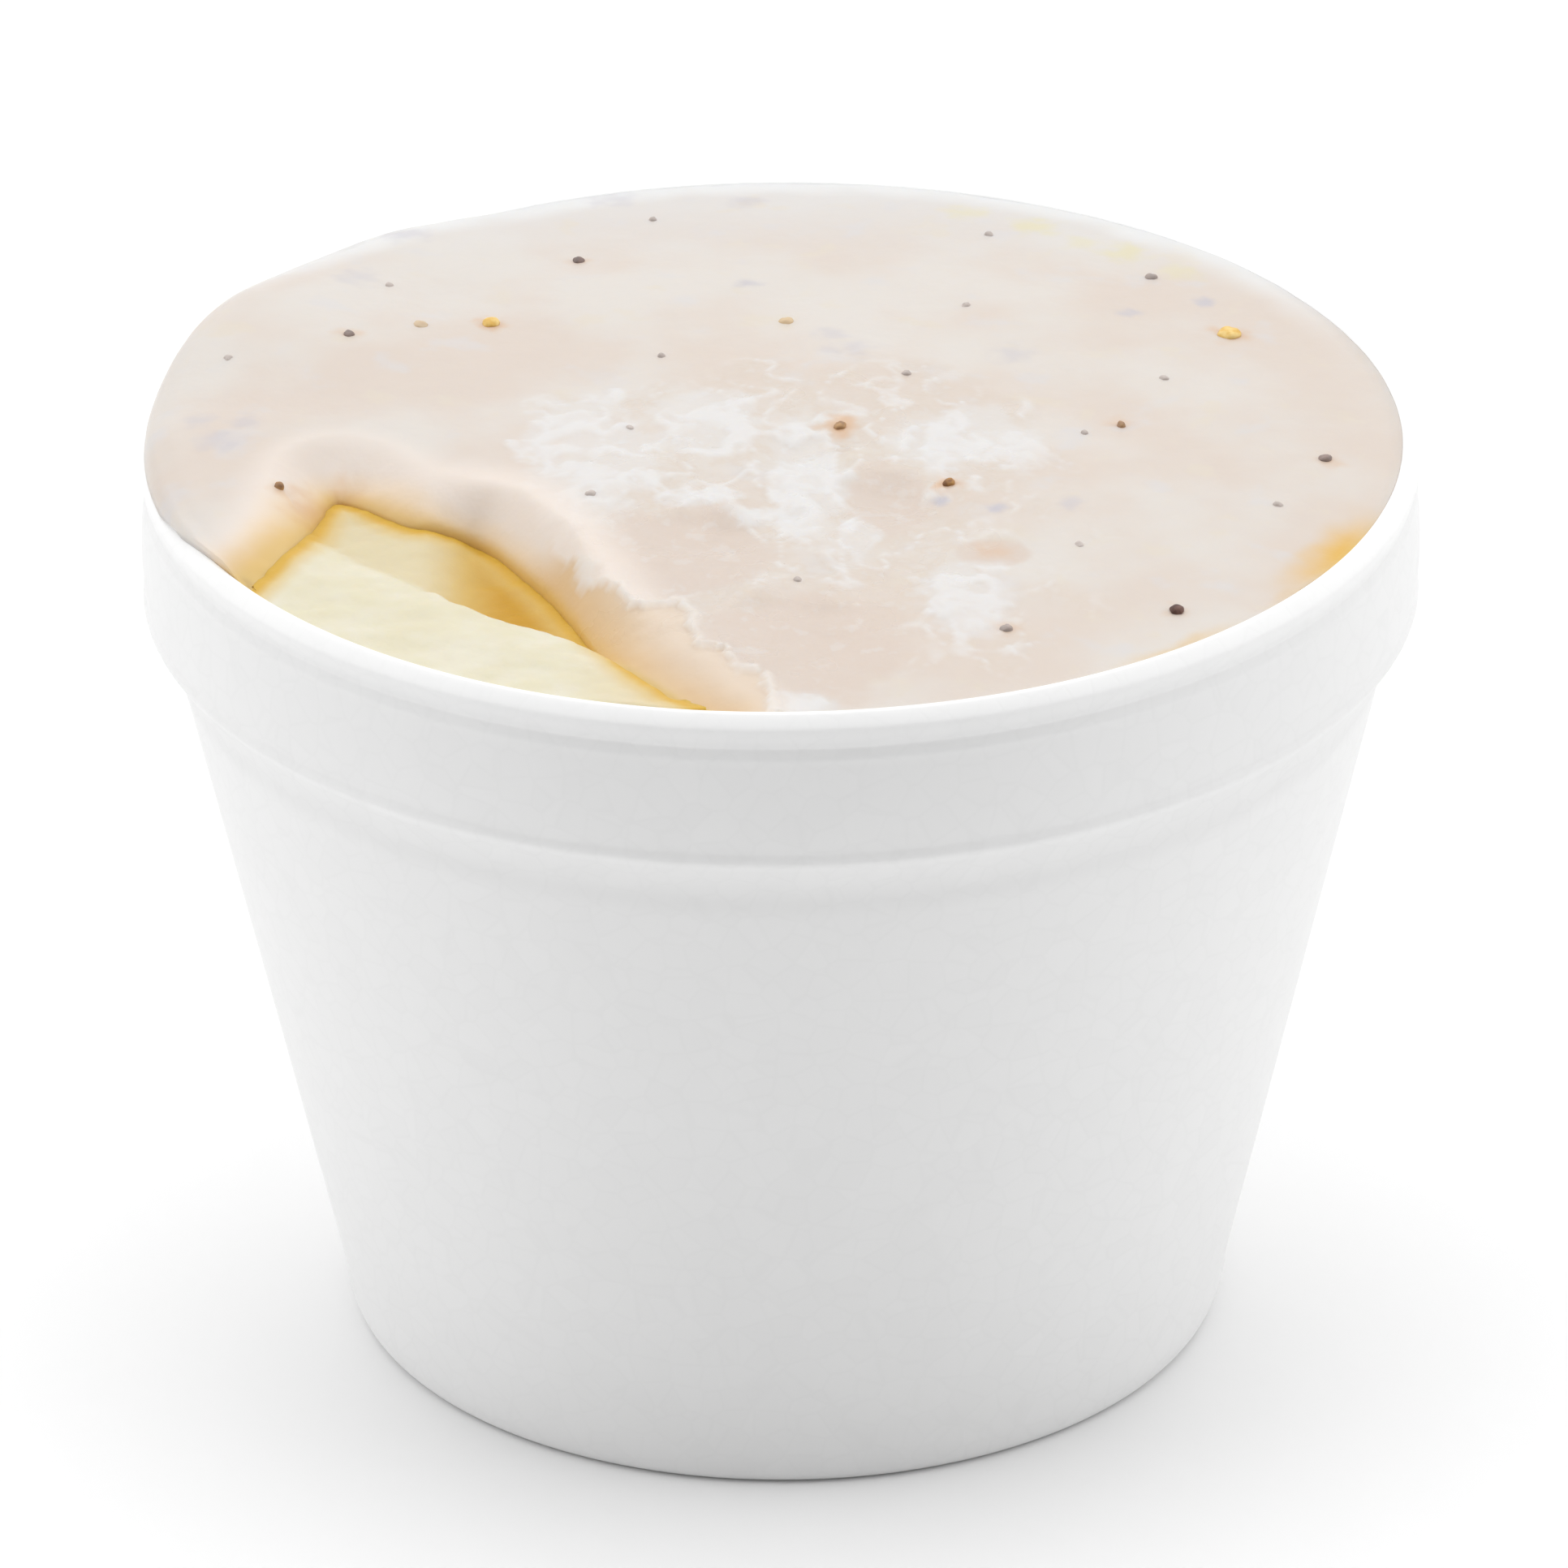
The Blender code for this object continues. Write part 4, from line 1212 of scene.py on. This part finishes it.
flake_lump = 0.55
flake_unevenness = 0.35

draw = random.Random(flake_seed)
draw_tone = random.Random(flake_seed + 1)
flakes = list(large_flakes)
while len(flakes) < len(large_flakes) + small_flake_count:
    radius = flake_field_radius * math.sqrt(draw.random())
    angle = math.tau * draw.random()
    spot_x, spot_y = polar(radius, angle)
    nearest = min(math.hypot(spot_x - flake[0], spot_y - flake[1]) for flake in flakes)
    inside = float(signed_distance(np.array([spot_x]), np.array([spot_y]), crease)[0])
    if nearest > small_flake_spacing and inside > flake_margin:
        tone = draw_tone.uniform(*small_flake_tones)
        flakes.append((spot_x, spot_y, draw.uniform(*small_flake_lengths), "dark", tone))

# Two more brown grains: one above the gravy's slope at the opening's left side, one to the right
flakes += [(-34.8, -10.7, 0.85, "brown", 0.2), (23.9, -1.2, 0.8, "brown", 0.35)]


def flake_tree():
    """Puts a chip on every point: its length from the point's own number, its edge made uneven."""
    inputs = [("Thickness", "Float"), ("Unevenness", "Float"), ("Turn", "Float"), ("Finish", "Material")]
    nodes, (points, thickness, unevenness, turn, finish) = shaping_tree("pepper chips", inputs)
    chip = nodes.add("GeometryNodeMeshIcoSphere", {}, {"Radius": 0.5, "Subdivisions": 3})
    length = nodes.add("GeometryNodeInputNamedAttribute", {"data_type": "FLOAT"}, {"Name": "length"})
    number = nodes.add("GeometryNodeInputIndex")
    spin = nodes.add("ShaderNodeCombineXYZ", {}, [0.0, 0.0, number * turn])
    breadths = [length * flake_share, length * flake_breadth, thickness]
    stretch = nodes.add("ShaderNodeCombineXYZ", {}, breadths)
    settings = {"Points": points, "Instance": chip, "Rotation": spin, "Scale": stretch}
    placed = nodes.add("GeometryNodeInstanceOnPoints", {}, settings)
    real = nodes.add("GeometryNodeRealizeInstances", {}, {"Geometry": placed})
    spot = nodes.add("GeometryNodeInputPosition")
    normal = nodes.add("GeometryNodeInputNormal")
    rough = nodes.noise(spot, flake_lump, 1.0)
    push = (rough - 0.6) * unevenness
    offset = nodes.add("ShaderNodeVectorMath", {"operation": "SCALE"}, {"Vector": normal, "Scale": push})
    moved = nodes.add("GeometryNodeSetPosition", {}, {"Geometry": real, "Offset": offset})
    return smooth_result(nodes, moved, finish)


def pepper_piece(name, kind, finish):
    chosen = [flake for flake in flakes if flake[3] == kind]
    x = np.array([flake[0] for flake in chosen])
    y = np.array([flake[1] for flake in chosen])
    tones = np.array([flake[4] for flake in chosen])
    z = surface_heights(x, y, crease, skin_level) - between(*flake_sink, tones)
    z = np.minimum(z, cad_box[1][2] / mm - top_margin - flake_thickness / 2.0)
    mesh = bpy.data.meshes.new(name)
    mesh.from_pydata(in_metres(x, y, z), [], [])
    add_mask(mesh, "length", [flake[2] * mm for flake in chosen])
    add_mask(mesh, "tone", tones)
    piece = linked(name, mesh)
    values = {
        "Thickness": flake_thickness * mm,
        "Unevenness": flake_unevenness * mm,
        "Turn": math.radians(flake_turn),
        "Finish": finish,
    }
    grown(piece, flake_shape, values)
    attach(piece, "root")


def pepper_material(name, dark, light, faint):
    """Mottled from dark to light. The deeper a grain lies, the nearer it is to its faint colour."""
    made, nodes, shader = new_material(name, {"Roughness": 0.6, "Coat Weight": 0.08})
    place = nodes.add("ShaderNodeTexCoord", output="Object")
    mottle = nodes.noise(place, 0.6, 3.0)
    layers = ((mottle.ramp(0.3, 0.7), light), (nodes.attribute("tone"), faint))
    feed(nodes, shader, "Base Color", nodes.layered((*dark, 1.0), layers))
    nodes.bump(shader, 0.5, 0.05, mottle)
    return made


flake_shape = flake_tree()
pepper_kinds = {
    "dark": ((0.05, 0.018, 0.014), (0.20, 0.10, 0.075), (0.60, 0.53, 0.49)),
    "brown": ((0.17, 0.06, 0.012), (0.48, 0.24, 0.06), (0.66, 0.48, 0.33)),
    "husk": ((0.76, 0.46, 0.09), (0.86, 0.63, 0.24), (0.60, 0.49, 0.40)),
}
for kind, tints in pepper_kinds.items():
    pepper_piece("pepper_" + kind, kind, pepper_material(kind + " pepper", *tints))


# Floor, light and air
# A plain white floor under wide soft lamps: one on each side, one over the cup and one behind it.
floor_size = 12.0
floor_white = (0.95, 0.95, 0.95, 1.0)
lamps = {
    "left_softbox": ((-0.95, -0.05, 0.55), (0.9, 0.9), 2.3),
    "right_softbox": ((0.95, -0.05, 0.55), (0.9, 0.9), 2.3),
    "top_softbox": ((0.0, -0.1, 1.25), (1.1, 1.1), 6.45),
    "back_softbox": ((0.0, 0.9, 1.1), (1.6, 0.7), 1.7),
}
lamp_target = Vector((0.0, 0.0, 0.05))
air_front = 0.14
air_back = 0.85

mesh = bpy.data.meshes.new("floor")
half = floor_size / 2.0
corners = [(-half, -half, 0.0), (half, -half, 0.0), (half, half, 0.0), (-half, half, 0.0)]
mesh.from_pydata(corners, [], [(0, 1, 2, 3)])
floor = linked("floor", mesh)
floor_finish, nodes, shader = new_material("floor", {"Base Color": floor_white, "Roughness": 0.9})
floor.data.materials.append(floor_finish)

for name, (spot_m, size, energy) in lamps.items():
    lamp = bpy.data.lights.new(name, "AREA")
    lamp.shape = "RECTANGLE"
    lamp.size, lamp.size_y = size
    lamp.energy = energy
    holder = linked(name, lamp)
    holder.location = spot_m
    holder.rotation_euler = (lamp_target - Vector(spot_m)).to_track_quat("-Z", "Y").to_euler()

world = bpy.data.worlds.new("air")
scene.world = world
world.use_nodes = True
nodes = Nodes(world.node_tree)
background = world.node_tree.nodes["Background"]
background.inputs["Color"].default_value = (1.0, 1.0, 1.0, 1.0)
direction = nodes.add("ShaderNodeTexCoord", output="Generated")
backward = nodes.part(direction, 1)
feed(nodes, background, "Strength", air_front + (air_back - air_front) * backward.ramp(-0.9, 0.2))
scene.view_settings.view_transform = "Standard"
